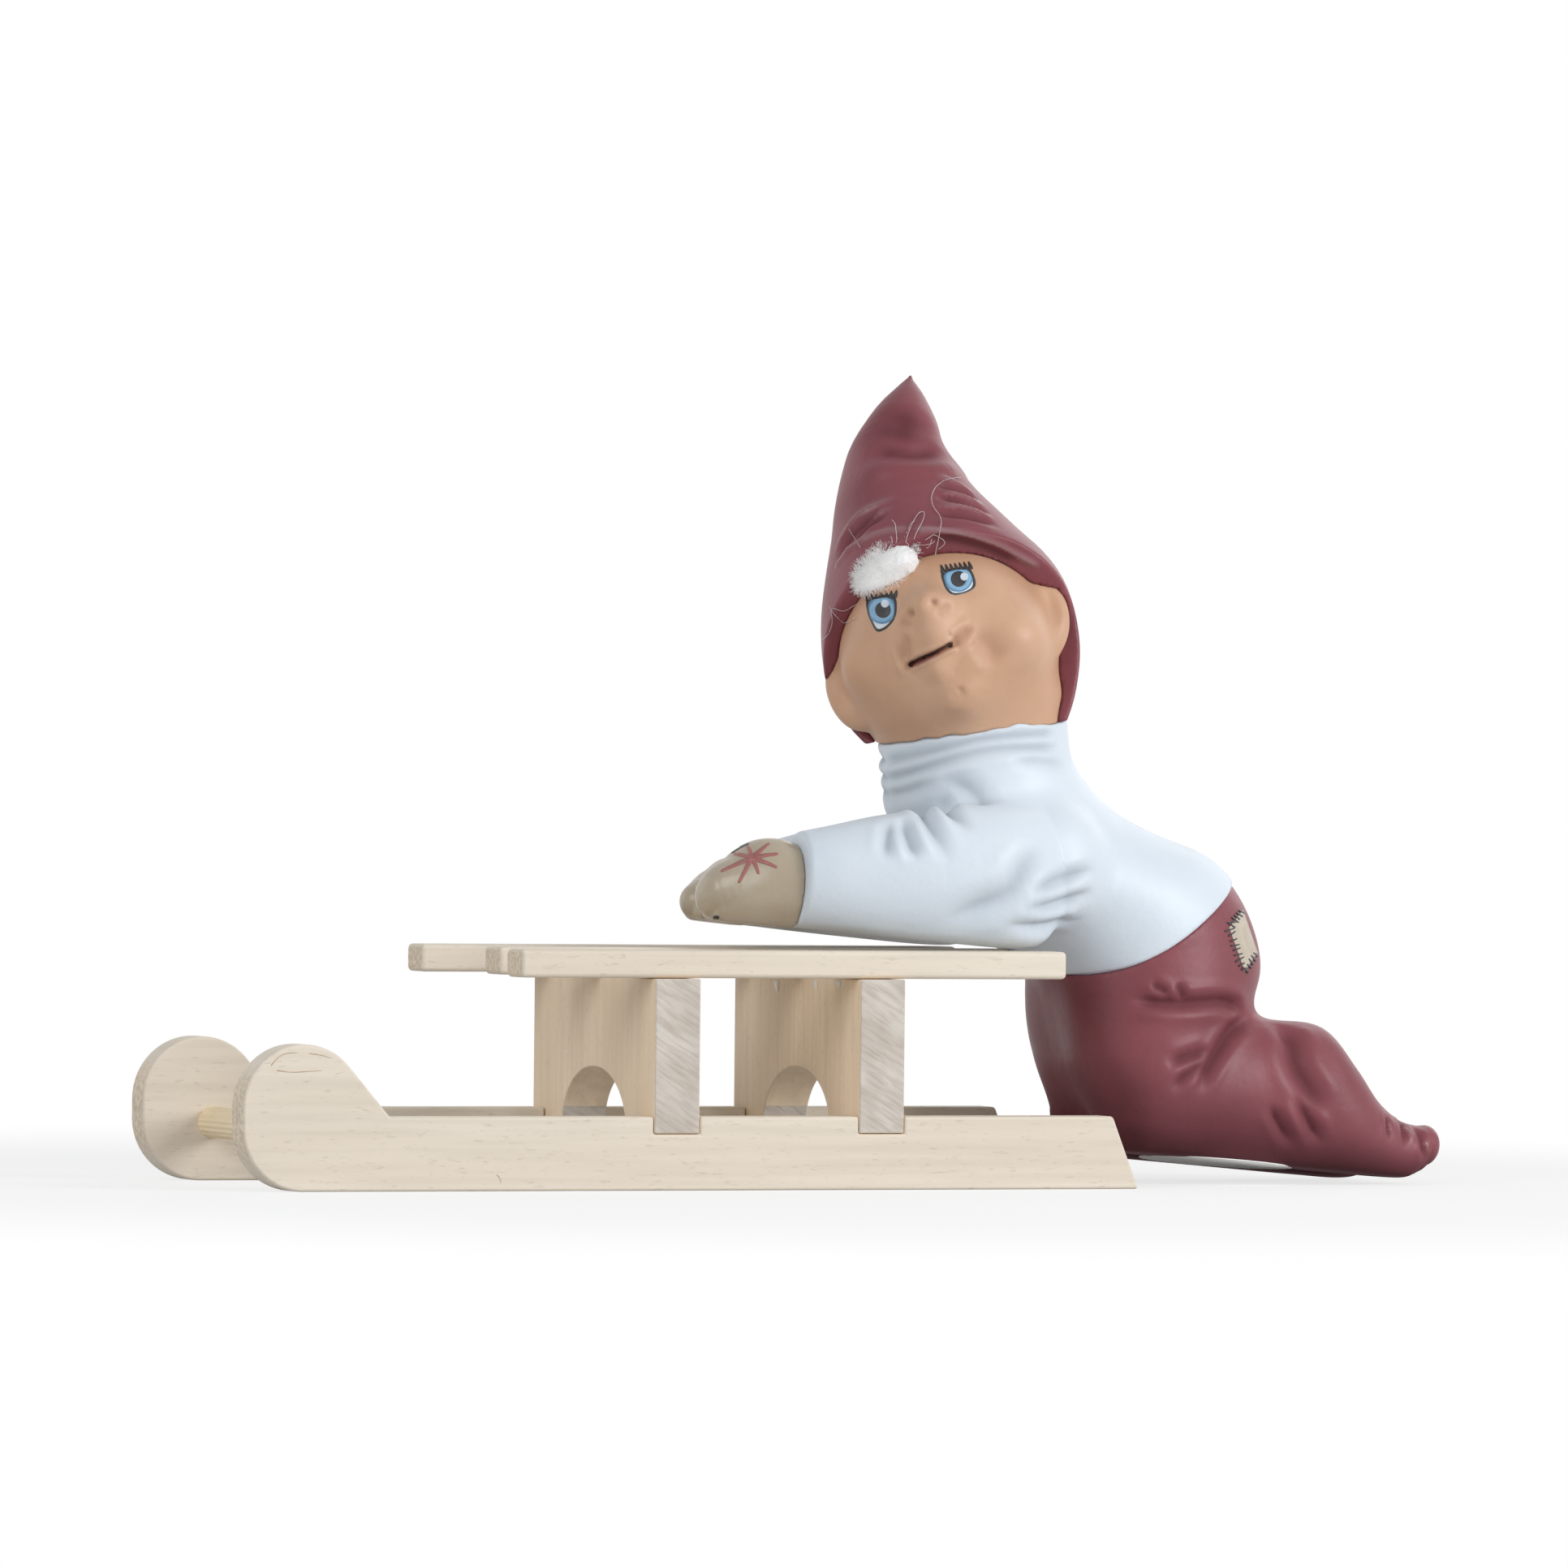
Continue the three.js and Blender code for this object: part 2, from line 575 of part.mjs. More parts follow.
function ear(side, grow) {
  const shell = new THREE.SphereGeometry(1, 14, 12)
    .scale(EAR_WIDTH / 2 + grow, EAR_THICKNESS / 2 + grow, EAR_HEIGHT / 2 + grow);
  const lean = side > 0 ? LEFT_EAR_LEAN : RIGHT_EAR_LEAN;
  shell.rotateZ(side * EAR_TURN * TO_RAD).rotateY(side * lean * TO_RAD);
  return solidOf(shell.translate(side * (HEAD_WIDTH / 2 - EAR_SINK), -BRIM_BACK, -EAR_DROP));
}

// The neck inside the collar, in the head's frame
function throat(grow, facets) {
  return solidOf(neckForm(grow - NECK_STEP, 0.5, facets).applyMatrix4(intoHead));
}

function headForm(grow) {
  return skull(grow).add(ear(-1, grow)).add(ear(1, grow)).add(throat(grow));
}

function head() {
  return headForm(0).subtract(skull(-WALL, 16, 12)).subtract(throat(-WALL, HOLLOW)).subtract(belowCollar());
}

// Everything under the collar's rim, where the neck and the hood stop
function belowCollar() {
  const tilt = Math.atan2(COLLAR_BACK[1] - COLLAR_FRONT[1], COLLAR_BACK[0] - COLLAR_FRONT[0]);
  const under = box([-FAR, -FAR, -FAR], [FAR, FAR, SEAM]).rotateY(-tilt);
  under.translate(COLLAR_FRONT[0], 0, COLLAR_FRONT[1]);
  return solidOf(under.applyMatrix4(intoHead));
}

// Everything in front of the brim: it slopes up over the forehead and drops behind the ears
function beforeBrim(gap) {
  const slope = Math.tan(BRIM_SLOPE * TO_RAD);
  const shape = new THREE.Shape();
  shape.moveTo(BRIM_BACK + 2 * NAPE_BACK - gap, -FAR);
  shape.lineTo(BRIM_BACK + NAPE_BACK - gap, -NAPE_DROP);
  const turn = [BRIM_BACK + NAPE_BACK / 3 - gap, -2];
  shape.quadraticCurveTo(...turn, BRIM_BACK - BRIM_CURVE - gap, BRIM_CURVE * slope);
  shape.lineTo(-FAR, (FAR - BRIM_BACK) * slope);
  shape.lineTo(-FAR, -FAR);
  shape.closePath();
  const front = new THREE.ExtrudeGeometry(shape, { depth: 2 * FAR, bevelEnabled: false, curveSegments: 8 });
  return solidOf(front.applyMatrix4(ALONG_SLED).translate(-FAR, 0, 0));
}

// The hood and its bent peak, lofted upright: front low, back high, then turned to face forward.
// A ring's rise is a share of the hat's height, and its bend a share of the tip's lean to the side.
function hatForm(grow, facets = { sides: 24, steps: 1 }) {
  const hood = HEAD_WIDTH / 2 + HOOD_WALL;
  const rises = [
    -0.41, -0.36, -0.28, -0.195, -0.1, 0.014, 0.116, 0.211, 0.304, 0.418, 0.518, 0.619, 0.731, 0.816, 0.908,
    0.9625, 0.988,
  ];
  const bends = [
    0.06, 0.06, 0.08, 0.09, 0.08, 0.07, 0.1, 0.1, 0.08, 0.09, 0.11, 0.15, 0.25, 0.41, 0.64, 0.835, 0.94,
  ];
  const rings = HAT_INSETS.map((inset, i) => ({
    low: [inset + (BROW_INSETS[i] ?? 0) - hood, HAT_HEIGHT * rises[i]],
    high: [hood + NAPE_FULLNESS - inset, HAT_HEIGHT * rises[i]],
    y: -HAT_TIP_SIDE * bends[i],
    width: hood - inset,
  }));
  // The thin peak is cast solid
  const shown = grow < 0 ? rings.slice(0, -4) : rings;
  return solidOf(loft(shown, { ...facets, grow, startCap: 0.3 }).rotateZ(Math.PI / 2));
}

function hat() {
  return hatForm(0).subtract(hatForm(-WALL, HOLLOW)).subtract(headForm(SEAM))
    .subtract(beforeBrim(0)).subtract(belowCollar());
}

// A puff of wool glued in the angle between the brim and the forehead
function tuft() {
  const puff = new THREE.SphereGeometry(1, 16, 10).scale(TUFT_WIDTH / 2, TUFT_DEPTH / 2, TUFT_HEIGHT / 2);
  const seatLine = facing(TUFT_TURN, TUFT_LIFT).multiplyScalar(HEAD_WIDTH / 2 + HOOD_WALL - TUFT_SINK);
  puff.rotateX(-BRIM_SLOPE * TO_RAD).translate(...seatLine);
  const hatSpace = hatForm(SEAM).subtract(beforeBrim(SEAM));
  const whole = solidOf(puff).subtract(hatSpace).subtract(headForm(SEAM));
  return whole.decompose().reduce((large, next) => (next.volume() > large.volume() ? next : large));
}

figure.add(piece('sweater_body', geometryOf(sweaterBody()), SWEATER_COLOUR, 0.42));
figure.add(piece('trousers_seat', geometryOf(trousersSeat()), BURGUNDY, 0.4));
Object.entries({ left: -1, right: 1 }).forEach(([name, side]) => {
  figure.add(piece(`sleeve_${name}`, geometryOf(sleeve(side)), SWEATER_COLOUR, 0.42));
  figure.add(piece(`mitten_${name}`, geometryOf(mitten(side)), MITTEN_COLOUR, 0.38));
  figure.add(piece(`leg_${name}`, geometryOf(leg(side)), BURGUNDY, 0.4));
});
headGroup.add(piece('head', geometryOf(head()), SKIN_COLOUR, 0.45));
headGroup.add(piece('hat', geometryOf(hat()), BURGUNDY, 0.4));
headGroup.add(piece('wool_tuft', geometryOf(tuft()), WOOL_COLOUR, 0.95));
figure.add(headGroup);

// The part's origin is under the middle of its length, on the floor
const nisse = new THREE.Group();
nisse.add(sled, figure);
sled.position.x -= TOTAL_LENGTH / 2;
figure.position.x -= TOTAL_LENGTH / 2;

export default nisse;
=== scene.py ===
"""A painted earthenware nisse leaning on a small wooden sled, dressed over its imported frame.

The figure is sculpted from distance fields in millimetres, in the figure's own frame or the head's.
Creases and painted marks are placed by the pixel where the photograph shows them.
"""
import itertools
import math

import bmesh
import bpy
import numpy as np
from mathutils import Matrix, Vector
from mathutils.bvhtree import BVHTree


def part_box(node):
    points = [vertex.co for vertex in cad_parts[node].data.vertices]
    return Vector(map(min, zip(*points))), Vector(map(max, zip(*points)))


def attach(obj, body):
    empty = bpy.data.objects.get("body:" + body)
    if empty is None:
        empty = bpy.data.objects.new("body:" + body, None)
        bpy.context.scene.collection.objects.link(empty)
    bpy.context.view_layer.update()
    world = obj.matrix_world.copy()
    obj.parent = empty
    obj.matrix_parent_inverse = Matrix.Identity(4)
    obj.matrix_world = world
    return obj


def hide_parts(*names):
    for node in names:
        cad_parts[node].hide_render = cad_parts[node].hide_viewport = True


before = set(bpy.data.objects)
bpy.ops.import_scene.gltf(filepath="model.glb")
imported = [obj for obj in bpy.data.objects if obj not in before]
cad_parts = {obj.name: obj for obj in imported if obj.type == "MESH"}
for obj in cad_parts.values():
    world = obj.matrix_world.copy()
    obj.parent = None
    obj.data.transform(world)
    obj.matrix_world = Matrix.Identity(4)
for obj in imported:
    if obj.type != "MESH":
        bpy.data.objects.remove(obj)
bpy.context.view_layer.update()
MM = 0.001
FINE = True


# Frames: a rotation and an origin that carry a form's own millimetres into the part's

def turn(axis, degrees):
    """Rotation matrix about one of the axes."""
    c = math.cos(math.radians(degrees))
    s = math.sin(math.radians(degrees))
    one, two = [(1, 2), (2, 0), (0, 1)]["xyz".index(axis)]
    m = np.eye(3)
    m[one, one] = m[two, two] = c
    m[one, two] = -s
    m[two, one] = s
    return m


class Frame:
    """A place whose points go out to the part frame and back into its own."""

    def __init__(self, rotation, origin):
        self.rotation = rotation
        self.origin = np.array(origin, float)

    def out(self, points):
        return points @ self.rotation.T + self.origin

    def into(self, points):
        return (points - self.origin) @ self.rotation

    def child(self, rotation, origin):
        return Frame(self.rotation @ rotation, self.out(np.array(origin, float)))


DECK_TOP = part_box("slat_left")[1][2] / MM
DECK_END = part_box("slat_left")[1][0] / MM
TOES_BEHIND_DECK = 103
FOREARM_REST = 51.1
ELBOW_REACH = 117
SEAM = 0.3
HAIRLINE = 0.08
LEAN = math.degrees(
    math.asin((DECK_TOP + SEAM) / math.hypot(ELBOW_REACH, FOREARM_REST))
    - math.atan2(FOREARM_REST, ELBOW_REACH))
HEAD_AT = (-130.8, 0, 125.6)
HEAD_TURN, HEAD_ROLL, HEAD_TIP = -25.5, -26.6, -22

FIGURE = Frame(turn("y", LEAN), (DECK_END + TOES_BEHIND_DECK, 0, 0))
HEAD = FIGURE.child(turn("z", HEAD_TURN) @ turn("y", HEAD_ROLL) @ turn("x", HEAD_TIP), HEAD_AT)


# The photograph's camera, in millimetres of the part frame

PHOTO_MIDDLE = 966
PHOTO_FOCAL = 14556.7
PHOTO_SIZE = 1932
CAMERA_YAW, CAMERA_PITCH, CAMERA_ROLL = 21.85, 0.12, 0.63
CAMERA_DISTANCE = 3032.65
CAMERA_AIM_SIDE, CAMERA_AIM_HEIGHT = 33.98, 103.1
CAMERA_AIM_X = -45.7
MARCH_START, MARCH_STEPS, MARCH_SHARE = 160, 90, 0.6


def camera_axes():
    """The camera's way ahead, right and up, and where it stands."""
    yaw, pitch, roll = (math.radians(a) for a in (CAMERA_YAW, CAMERA_PITCH, CAMERA_ROLL))
    level = math.cos(pitch)
    ahead = np.array([math.sin(yaw) * level, math.cos(yaw) * level, -math.sin(pitch)])
    right = np.array([math.cos(yaw), -math.sin(yaw), 0])
    up = np.cross(right, ahead)
    rolled_right = right * math.cos(roll) + up * math.sin(roll)
    rolled_up = up * math.cos(roll) - right * math.sin(roll)
    aim = right * CAMERA_AIM_SIDE + [CAMERA_AIM_X, 0, CAMERA_AIM_HEIGHT]
    return ahead, rolled_right, rolled_up, aim - ahead * CAMERA_DISTANCE


AHEAD, RIGHT, UP, EYE = camera_axes()


def sight(pixels):
    """Directions from the camera through these pixels."""
    pixels = np.asarray(pixels, float)
    across = (pixels[:, :1] - PHOTO_MIDDLE) / PHOTO_FOCAL
    down = (pixels[:, 1:] - PHOTO_MIDDLE) / PHOTO_FOCAL
    way = AHEAD + across * RIGHT - down * UP
    return way / np.linalg.norm(way, axis=1, keepdims=True)


def seen(field, place, pixels, side=1):
    """The points of a form, in its own frame, that the photograph shows at these pixels.

    Side -1 is the far side, looked at as in a mirror.
    """
    flip = np.array([1, side, 1])
    way = sight(pixels)
    start = place.into(EYE + way * (CAMERA_DISTANCE - MARCH_START)) * flip
    way = way @ place.rotation * flip
    gone = np.zeros(len(way))
    for _ in range(MARCH_STEPS):
        gone += MARCH_SHARE * field(start + way * gone[:, None])
    return start + way * gone[:, None]


# Distance fields: each takes an (n, 3) array and gives a distance that is true at the surface

TINY = 1e-6
SHALLOWEST_CAP = 0.05


def ellipsoid(off, half):
    """Distance to an ellipsoid's surface, for points measured from its middle."""
    k0 = np.linalg.norm(off / half, axis=1)
    k1 = np.linalg.norm(off / half**2, axis=1)
    return k0 * (k0 - 1) / np.maximum(k1, TINY)


def oval(across, along, half_width, half_height):
    """Distance to an ellipse's rim."""
    k0 = np.hypot(across / half_width, along / half_height)
    k1 = np.hypot(across / half_width**2, along / half_height**2)
    return k0 * (k0 - 1) / np.maximum(k1, TINY)


def join(a, b, blend):
    """What is inside either, with the valley between them filled."""
    h = np.maximum(blend - np.abs(a - b), 0) / blend
    return np.minimum(a, b) - h * h * blend / 4


def keep(a, b, blend):
    """What is inside both, with the edge between them rounded."""
    return -join(-a, -b, blend)


def through(rows, count):
    """A smooth curve through the rows, with count steps from each row to the next."""
    rows = np.asarray(rows, float)
    padded = np.vstack([2 * rows[0] - rows[1], rows, 2 * rows[-1] - rows[-2]])
    t = np.linspace(0, 1, count, endpoint=False)[:, None]
    spans = []
    for p0, p1, p2, p3 in zip(padded, padded[1:], padded[2:], padded[3:]):
        spans.append(0.5 * (2 * p1 + (p2 - p0) * t + (2 * p0 - 5 * p1 + 4 * p2 - p3) * t**2
                            + (3 * p1 - p0 - 3 * p2 + p3) * t**3))
    return np.vstack([*spans, rows[-1:]])


CORE = 0.8


def loft(stations, start_cap=1.0, end_cap=1.0, grow=0.0, steps=6, core=CORE):
    """Oval sections swept along a body, round spheres that keep it whole where sections cross.

    A station is low x, low z, high x, high z, y and half width.
    """
    rows = through(stations, steps)
    low, high = rows[:, 0:2], rows[:, 2:4]
    centre = (low + high) / 2
    rise = high - low
    half = np.linalg.norm(rise, axis=1) / 2 + grow
    rise /= np.linalg.norm(rise, axis=1, keepdims=True)
    normal = np.stack([rise[:, 1], -rise[:, 0]], 1)
    if np.sum(normal[:-1] * np.diff(centre, axis=0)) < 0:
        normal = -normal
    y = rows[:, 4]
    width = rows[:, 5] + grow

    def cap(p, i, sign, bulge):
        flat = p[:, [0, 2]] - centre[i]
        past = np.maximum(sign * (flat @ normal[i]), 0)
        reach = max(bulge * half[i], SHALLOWEST_CAP)
        off = np.stack([p[:, 1] - y[i], flat @ rise[i], past], 1)
        return ellipsoid(off, np.array([width[i], half[i], reach]))

    def field(p):
        flat = p[:, [0, 2]]
        ahead = [(flat - centre[i]) @ normal[i] for i in range(len(rows))]
        value = np.full(len(p), np.inf)
        for i in range(1, len(rows) - 1, 2):
            away = np.sqrt(np.sum((flat - centre[i]) ** 2, 1) + (p[:, 1] - y[i]) ** 2)
            value = np.minimum(value, away - core * min(width[i], half[i]))
        for i in range(len(rows) - 1):
            at = np.nonzero((ahead[i] >= 0) & (ahead[i + 1] < 0))[0]
            f = (ahead[i][at] / (ahead[i][at] - ahead[i + 1][at]))[:, None]
            off = flat[at] - (centre[i] + (centre[i + 1] - centre[i]) * f)
            up = rise[i] + (rise[i + 1] - rise[i]) * f
            f = f[:, 0]
            across = p[at, 1] - (y[i] + (y[i + 1] - y[i]) * f)
            here = oval(across, np.sum(off * up, 1), width[i] + (width[i + 1] - width[i]) * f,
                        half[i] + (half[i + 1] - half[i]) * f)
            value[at] = np.minimum(value[at], here)
        for i, sign, bulge in ((0, -1, start_cap), (-1, 1, end_cap)):
            at = np.nonzero(sign * ahead[i] >= 0)[0]
            value[at] = np.minimum(value[at], cap(p[at], i, sign, bulge))
        return value

    return field


def curtain(points, steps=6):
    """Height of a hem over the side view: positive under the line through these points."""
    line = through(points, steps)
    line = line[np.argsort(line[:, 0])]
    return lambda p: np.interp(p[:, 0], line[:, 0], line[:, 1]) - p[:, 2]


# Sculpting

BLOCK, NEAR_BLOCKS, BATCHES = 4, 2.2, 12
LONGEST_STEP, FLATTEST = 1.2, 0.05


def slope(field, p, step=0.04):
    """A field's values and gradients."""
    base = field(p)
    parts = [field(p + step * axis) - base for axis in np.eye(3)]
    return base, np.stack(parts, 1) / step


def settle(field, p, rounds=4):
    """Moves points on to the surface, and gives its outward normals there."""
    for _ in range(rounds):
        value, grad = slope(field, p)
        size = np.maximum(np.sum(grad * grad, 1), FLATTEST)
        step = np.clip(value / size, -LONGEST_STEP, LONGEST_STEP)
        p = p - grad * step[:, None]
    grad = slope(field, p)[1]
    return p, grad / np.maximum(np.linalg.norm(grad, axis=1, keepdims=True), TINY)


def inside_grid(field, low, high, cell):
    """Which points of a grid lie inside a form. Only blocks near the surface are looked at closely."""
    low = np.array(low, float)
    blocks = np.ceil((np.array(high) - low) / (cell * BLOCK)).astype(int)
    index = np.stack(np.meshgrid(*(np.arange(n) for n in blocks), indexing="ij"), -1)
    middles = index * BLOCK + (BLOCK - 1) / 2
    rough = field(low + cell * middles.reshape(-1, 3)).reshape(blocks)
    fill = np.ones((BLOCK, BLOCK, BLOCK), bool)
    inside = np.kron(rough < 0, fill)
    close = np.argwhere(np.kron(np.abs(rough) < NEAR_BLOCKS * BLOCK * cell, fill))
    for part in np.array_split(close, BATCHES):
        inside[tuple(part.T)] = field(low + cell * part) < 0
    return inside


def skin(field, low, high, cell):
    """Quads over a field's surface, found on a grid."""
    inside = inside_grid(field, low, high, cell)
    shape = inside.shape
    total = sum(
        inside[i:shape[0] - 1 + i, j:shape[1] - 1 + j, k:shape[2] - 1 + k].astype(int)
        for i, j, k in itertools.product((0, 1), repeat=3))
    active = (total > 0) & (total < 8)
    number = np.full(active.shape, -1)
    number[active] = np.arange(active.sum())
    points = np.argwhere(active) * cell + np.array(low) + cell / 2
    quads = []
    for axis in range(3):
        one, two = (axis + 1) % 3, (axis + 2) % 3
        here = np.moveaxis(inside, (axis, one, two), (0, 1, 2))
        cells = np.moveaxis(number, (axis, one, two), (0, 1, 2))
        a, b = here[:-1, 1:-1, 1:-1], here[1:, 1:-1, 1:-1]
        ring = np.stack([cells[:, :-1, :-1], cells[:, 1:, :-1], cells[:, 1:, 1:], cells[:, :-1, 1:]], -1)
        quads.append(ring[a & ~b])
        quads.append(ring[~a & b][:, ::-1])
    return points, np.concatenate(quads)


def linked(name, data):
    """A new object in the scene."""
    made = bpy.data.objects.new(name, data)
    bpy.context.scene.collection.objects.link(made)
    return made


def mesh_object(name, points, faces, place):
    """An object in metres of the part frame."""
    mesh = bpy.data.meshes.new(name)
    mesh.from_pydata((place.out(points) * MM).tolist(), [], [list(map(int, f)) for f in faces])
    mesh.validate()
    mesh.update()
    mesh.shade_smooth()
    return linked(name, mesh)


def mark(made, name, values):
    """Gives each vertex a value that a material can read."""
    layer = made.data.attributes.new(name, "FLOAT", "POINT")
    layer.data.foreach_set("value", np.asarray(values, np.float32))


def from_line(p, line):
    """Distance from each point to a polyline, and how far along it the nearest spot is, from 0 to 1."""
    best = np.full(len(p), np.inf)
    share = np.zeros(len(p))
    lengths = np.linalg.norm(np.diff(line, axis=0), axis=1)
    starts = np.concatenate([[0], np.cumsum(lengths)])
    for a, b, start, length in zip(line, line[1:], starts, lengths):
        along = b - a
        t = np.clip((p - a) @ along / max(along @ along, 1e-9), 0, 1)
        away = np.linalg.norm(p - a - t[:, None] * along, axis=1)
        nearer = away < best
        best[nearer] = away[nearer]
        share[nearer] = (start + t[nearer] * length) / starts[-1]
    return best, share


# A crease across its line, in widths: the valley, its shoulders and how far it is felt
VALLEY_FALL, VALLEY_ROUND = 1.6, 0.6
SHOULDER_AT, SHOULDER_SPREAD = 2.4, 1.1
CREASE_REACH = 5
OFF_SURFACE = 0.3


class Crease:
    """A valley between soft shoulders, seen in the photograph as a line of pixels.

    A negative depth is a ridge. Painted shade lies in a valley, and a painted highlight on a ridge.
    """

    def __init__(self, pixels, depth, width, shoulder=0.24, stain=0.45, taper=0.35, side=1):
        self.pixels, self.side = pixels, side
        self.depth, self.width, self.shoulder = depth, width, shoulder
        self.stain, self.taper = stain, taper

    def far(self):
        """The same crease on the side that the photograph doesn't show."""
        return Crease(self.pixels, self.depth, self.width, self.shoulder, self.stain, self.taper, -self.side)

    def cut(self, p, field, place):
        """How far each point is pushed out, and how much painted shade lies on it, or how much painted
        highlight on a ridge.
        """
        push = np.zeros(len(p))
        dark = np.zeros(len(p))
        line = seen(field, place, through(self.pixels, 5), self.side)
        line = line[np.abs(field(line)) < OFF_SURFACE]
        if len(line) < 2:
            print("no surface under the crease at", self.pixels[0])
            return push, dark
        reach = CREASE_REACH * self.width
        near = np.nonzero(np.all((p > line.min(0) - reach) & (p < line.max(0) + reach), axis=1))[0]
        away, share = from_line(p[near], line)
        off = away / self.width
        fade = np.clip(np.minimum(share, 1 - share) / self.taper, 0, 1)
        fade = fade * fade * (3 - 2 * fade)
        valley = np.exp(-VALLEY_FALL * (np.sqrt(off * off + VALLEY_ROUND**2) - VALLEY_ROUND))
        rise = self.shoulder * np.exp(-((off - SHOULDER_AT) / SHOULDER_SPREAD) ** 2)
        push[near] = fade * self.depth * (rise - valley)
        dark[near] = self.stain * fade * valley * np.clip(self.depth, -1, 1)
        return push, dark


def sculpt(name, field, place, low, high, cell, creases=()):
    """A form as a mesh, with its creases pressed in and marked for the painted shade in them and the painted
    highlight on ridges.
    """
    points, faces = skin(field, low, high, cell if FINE else 2 * cell)
    points, normals = settle(field, points)
    lift = np.zeros(len(points))
    painted_shading = np.zeros(len(points))
    for crease in creases:
        push, dark = crease.cut(points, field, place)
        lift += push
        painted_shading = np.where(np.abs(dark) > np.abs(painted_shading), dark, painted_shading)
    made = mesh_object(name, points + normals * lift[:, None], faces, place)
    mark(made, "painted_shading", painted_shading)
    return made


# Body

HIP, CHEST, NECK = 29.5, 28.5, 23.5
SWEATER_STEP = 0.9
COLLAR_FRONT = (-146.2, 101.6)
COLLAR_BACK = (-97.8, 112)
NECK_RISE, NECK_LEAN = 7, 0.6
TRUNK = [
    (-90.5, 26, -47, 31, 0, HIP - 4),
    (-93.8, 34, -38.4, 44.5, 0, HIP - 1),
    (-95.6, 39.5, -36.7, 56, 0, HIP),
    (-98, 44, -43, 70.2, 0, HIP),
    (-105, 49.5, -54, 80.6, 0, (HIP + CHEST) / 2),
    (-112, 54, -70, 85.4, 0, CHEST),
    (-122, 60.5, -82.5, 90.2, 0, CHEST - 1),
    (-135, 73, -91, 96.6, 0, (CHEST + NECK) / 2),
    (-143.6, 87, -95.8, 103, 0, NECK + 0.8),
    (*COLLAR_FRONT, *COLLAR_BACK, 0, NECK),
    (COLLAR_FRONT[0] - NECK_LEAN, COLLAR_FRONT[1] + NECK_RISE,
     COLLAR_BACK[0] - NECK_LEAN, COLLAR_BACK[1] + NECK_RISE, 0, NECK),
]
HEM = [(-160, 45.5), (-102, 46), (-88, 47.5), (-74, 55), (-48.5, 75.5), (-20, 92)]
below_hem = curtain(HEM)
ARM_SPREAD = 27
SLEEVE, WRIST, CUFF = 13, 11, 176
LEG_SPREAD, LEG, TOE = 14.8, 15.3, 7.5
HAND = 10.7
BASE_ROLL, BASE_EDGE = 3, 20
FAR_ARM_DROP = 5
FAR_HAND_SHORT = 2.5
RIM_WAVE, RIM_NEAR = 0.28, 1.2
TRUNK_CORE = 0.65
# How widely forms flow together, and how widely their cut edges are rounded
SHOULDER_BLEND, ARMS_BLEND, KNEE_BLEND, LEGS_BLEND, HIP_BLEND = 5.0, 1.0, 5.0, 6.0, 9.0
HEM_EDGE, COLLAR_EDGE, REST_EDGE, CUFF_EDGE, DECK_EDGE = 0.9, 0.7, 2.0, 1.2, 0.8
SEAM_EDGE, SOLE_EDGE = 0.3, 1.6
PALM_EDGE, WRIST_EDGE, HANDS_EDGE = 1.5, 0.5, 1.0


def above_collar(own):
    """Height over the collar's rim, which waves a little and rises on the near side."""
    along = (own[:, 0] - COLLAR_FRONT[0]) / (COLLAR_BACK[0] - COLLAR_FRONT[0])
    rim = COLLAR_FRONT[1] + along * (COLLAR_BACK[1] - COLLAR_FRONT[1])
    near = np.clip(-own[:, 1] / NECK, -1, 1) * np.clip(4 * along * (1 - along), 0, 1)
    x, y = own[:, 0], own[:, 1]
    wave = np.sin(0.31 * x + 1) + np.sin(0.83 * x - 0.4 * y) * np.sin(0.17 * x)
    return own[:, 2] - rim - RIM_NEAR * near - RIM_WAVE * wave


def arm_field(side):
    y = side * ARM_SPREAD
    drop = FAR_ARM_DROP if side > 0 else 0
    return loft([
        (-104, 58, -112, 89, y * 0.85, SLEEVE - 1),
        (-115, 50, -127, 88 - drop / 2, y, SLEEVE + 1),
        (-138, 49.5, -143, 85 - drop, y, SLEEVE + 0.4),
        (-156, 50, -157, 81.8 - drop, y * 0.93, SLEEVE - 0.6),
        (-CUFF + 8, 50.5, -CUFF + 7, 78 - drop, y * 0.83, WRIST + 0.8),
        (-CUFF, 50.5, -CUFF - 1, 75.6 - drop, y * 0.72, WRIST + 0.3),
        (-CUFF - 5, 50.5, -CUFF - 6, 75 - drop, y * 0.66, WRIST + 0.3),
    ], end_cap=0)


def mitten_field(side):
    y = side * ARM_SPREAD
    drop = FAR_ARM_DROP if side > 0 else 0
    back = CUFF - (FAR_HAND_SHORT if side > 0 else 0)
    form = loft([
        (-back + 8, 49, -back + 7.5, 71 - drop, y * 0.78, HAND - 1.4),
        (-back + 1, 49, -back + 0.6, 72.6 - drop, y * 0.68, HAND - 0.6),
        (-back - 4, 49, -back - 4.6, 73.6 - drop, y * 0.6, HAND),
        (-back - 9, 49, -back - 9.6, 72.6 - drop, y * 0.51, HAND),
        (-back - 13.6, 49.4, -back - 14, 69.2 - drop, y * 0.43, HAND - 1),
        (-back - 16.8, 50, -back - 17, 64.4 - drop / 2, y * 0.36, HAND - 2.8),
    ], start_cap=0, end_cap=0.42)

    def field(p):
        value = keep(form(p), FOREARM_REST - p[:, 2], PALM_EDGE)
        value = keep(value, p[:, 0] + CUFF + HAIRLINE, WRIST_EDGE)
        return keep(value, HAIRLINE - side * p[:, 1], HANDS_EDGE)

    return field


def deck_field(p):
    """The sled's deck, kept clear by the figure."""
    part = FIGURE.out(p)
    return np.maximum(part[:, 2] - DECK_TOP - SEAM, part[:, 0] - DECK_END - SEAM)


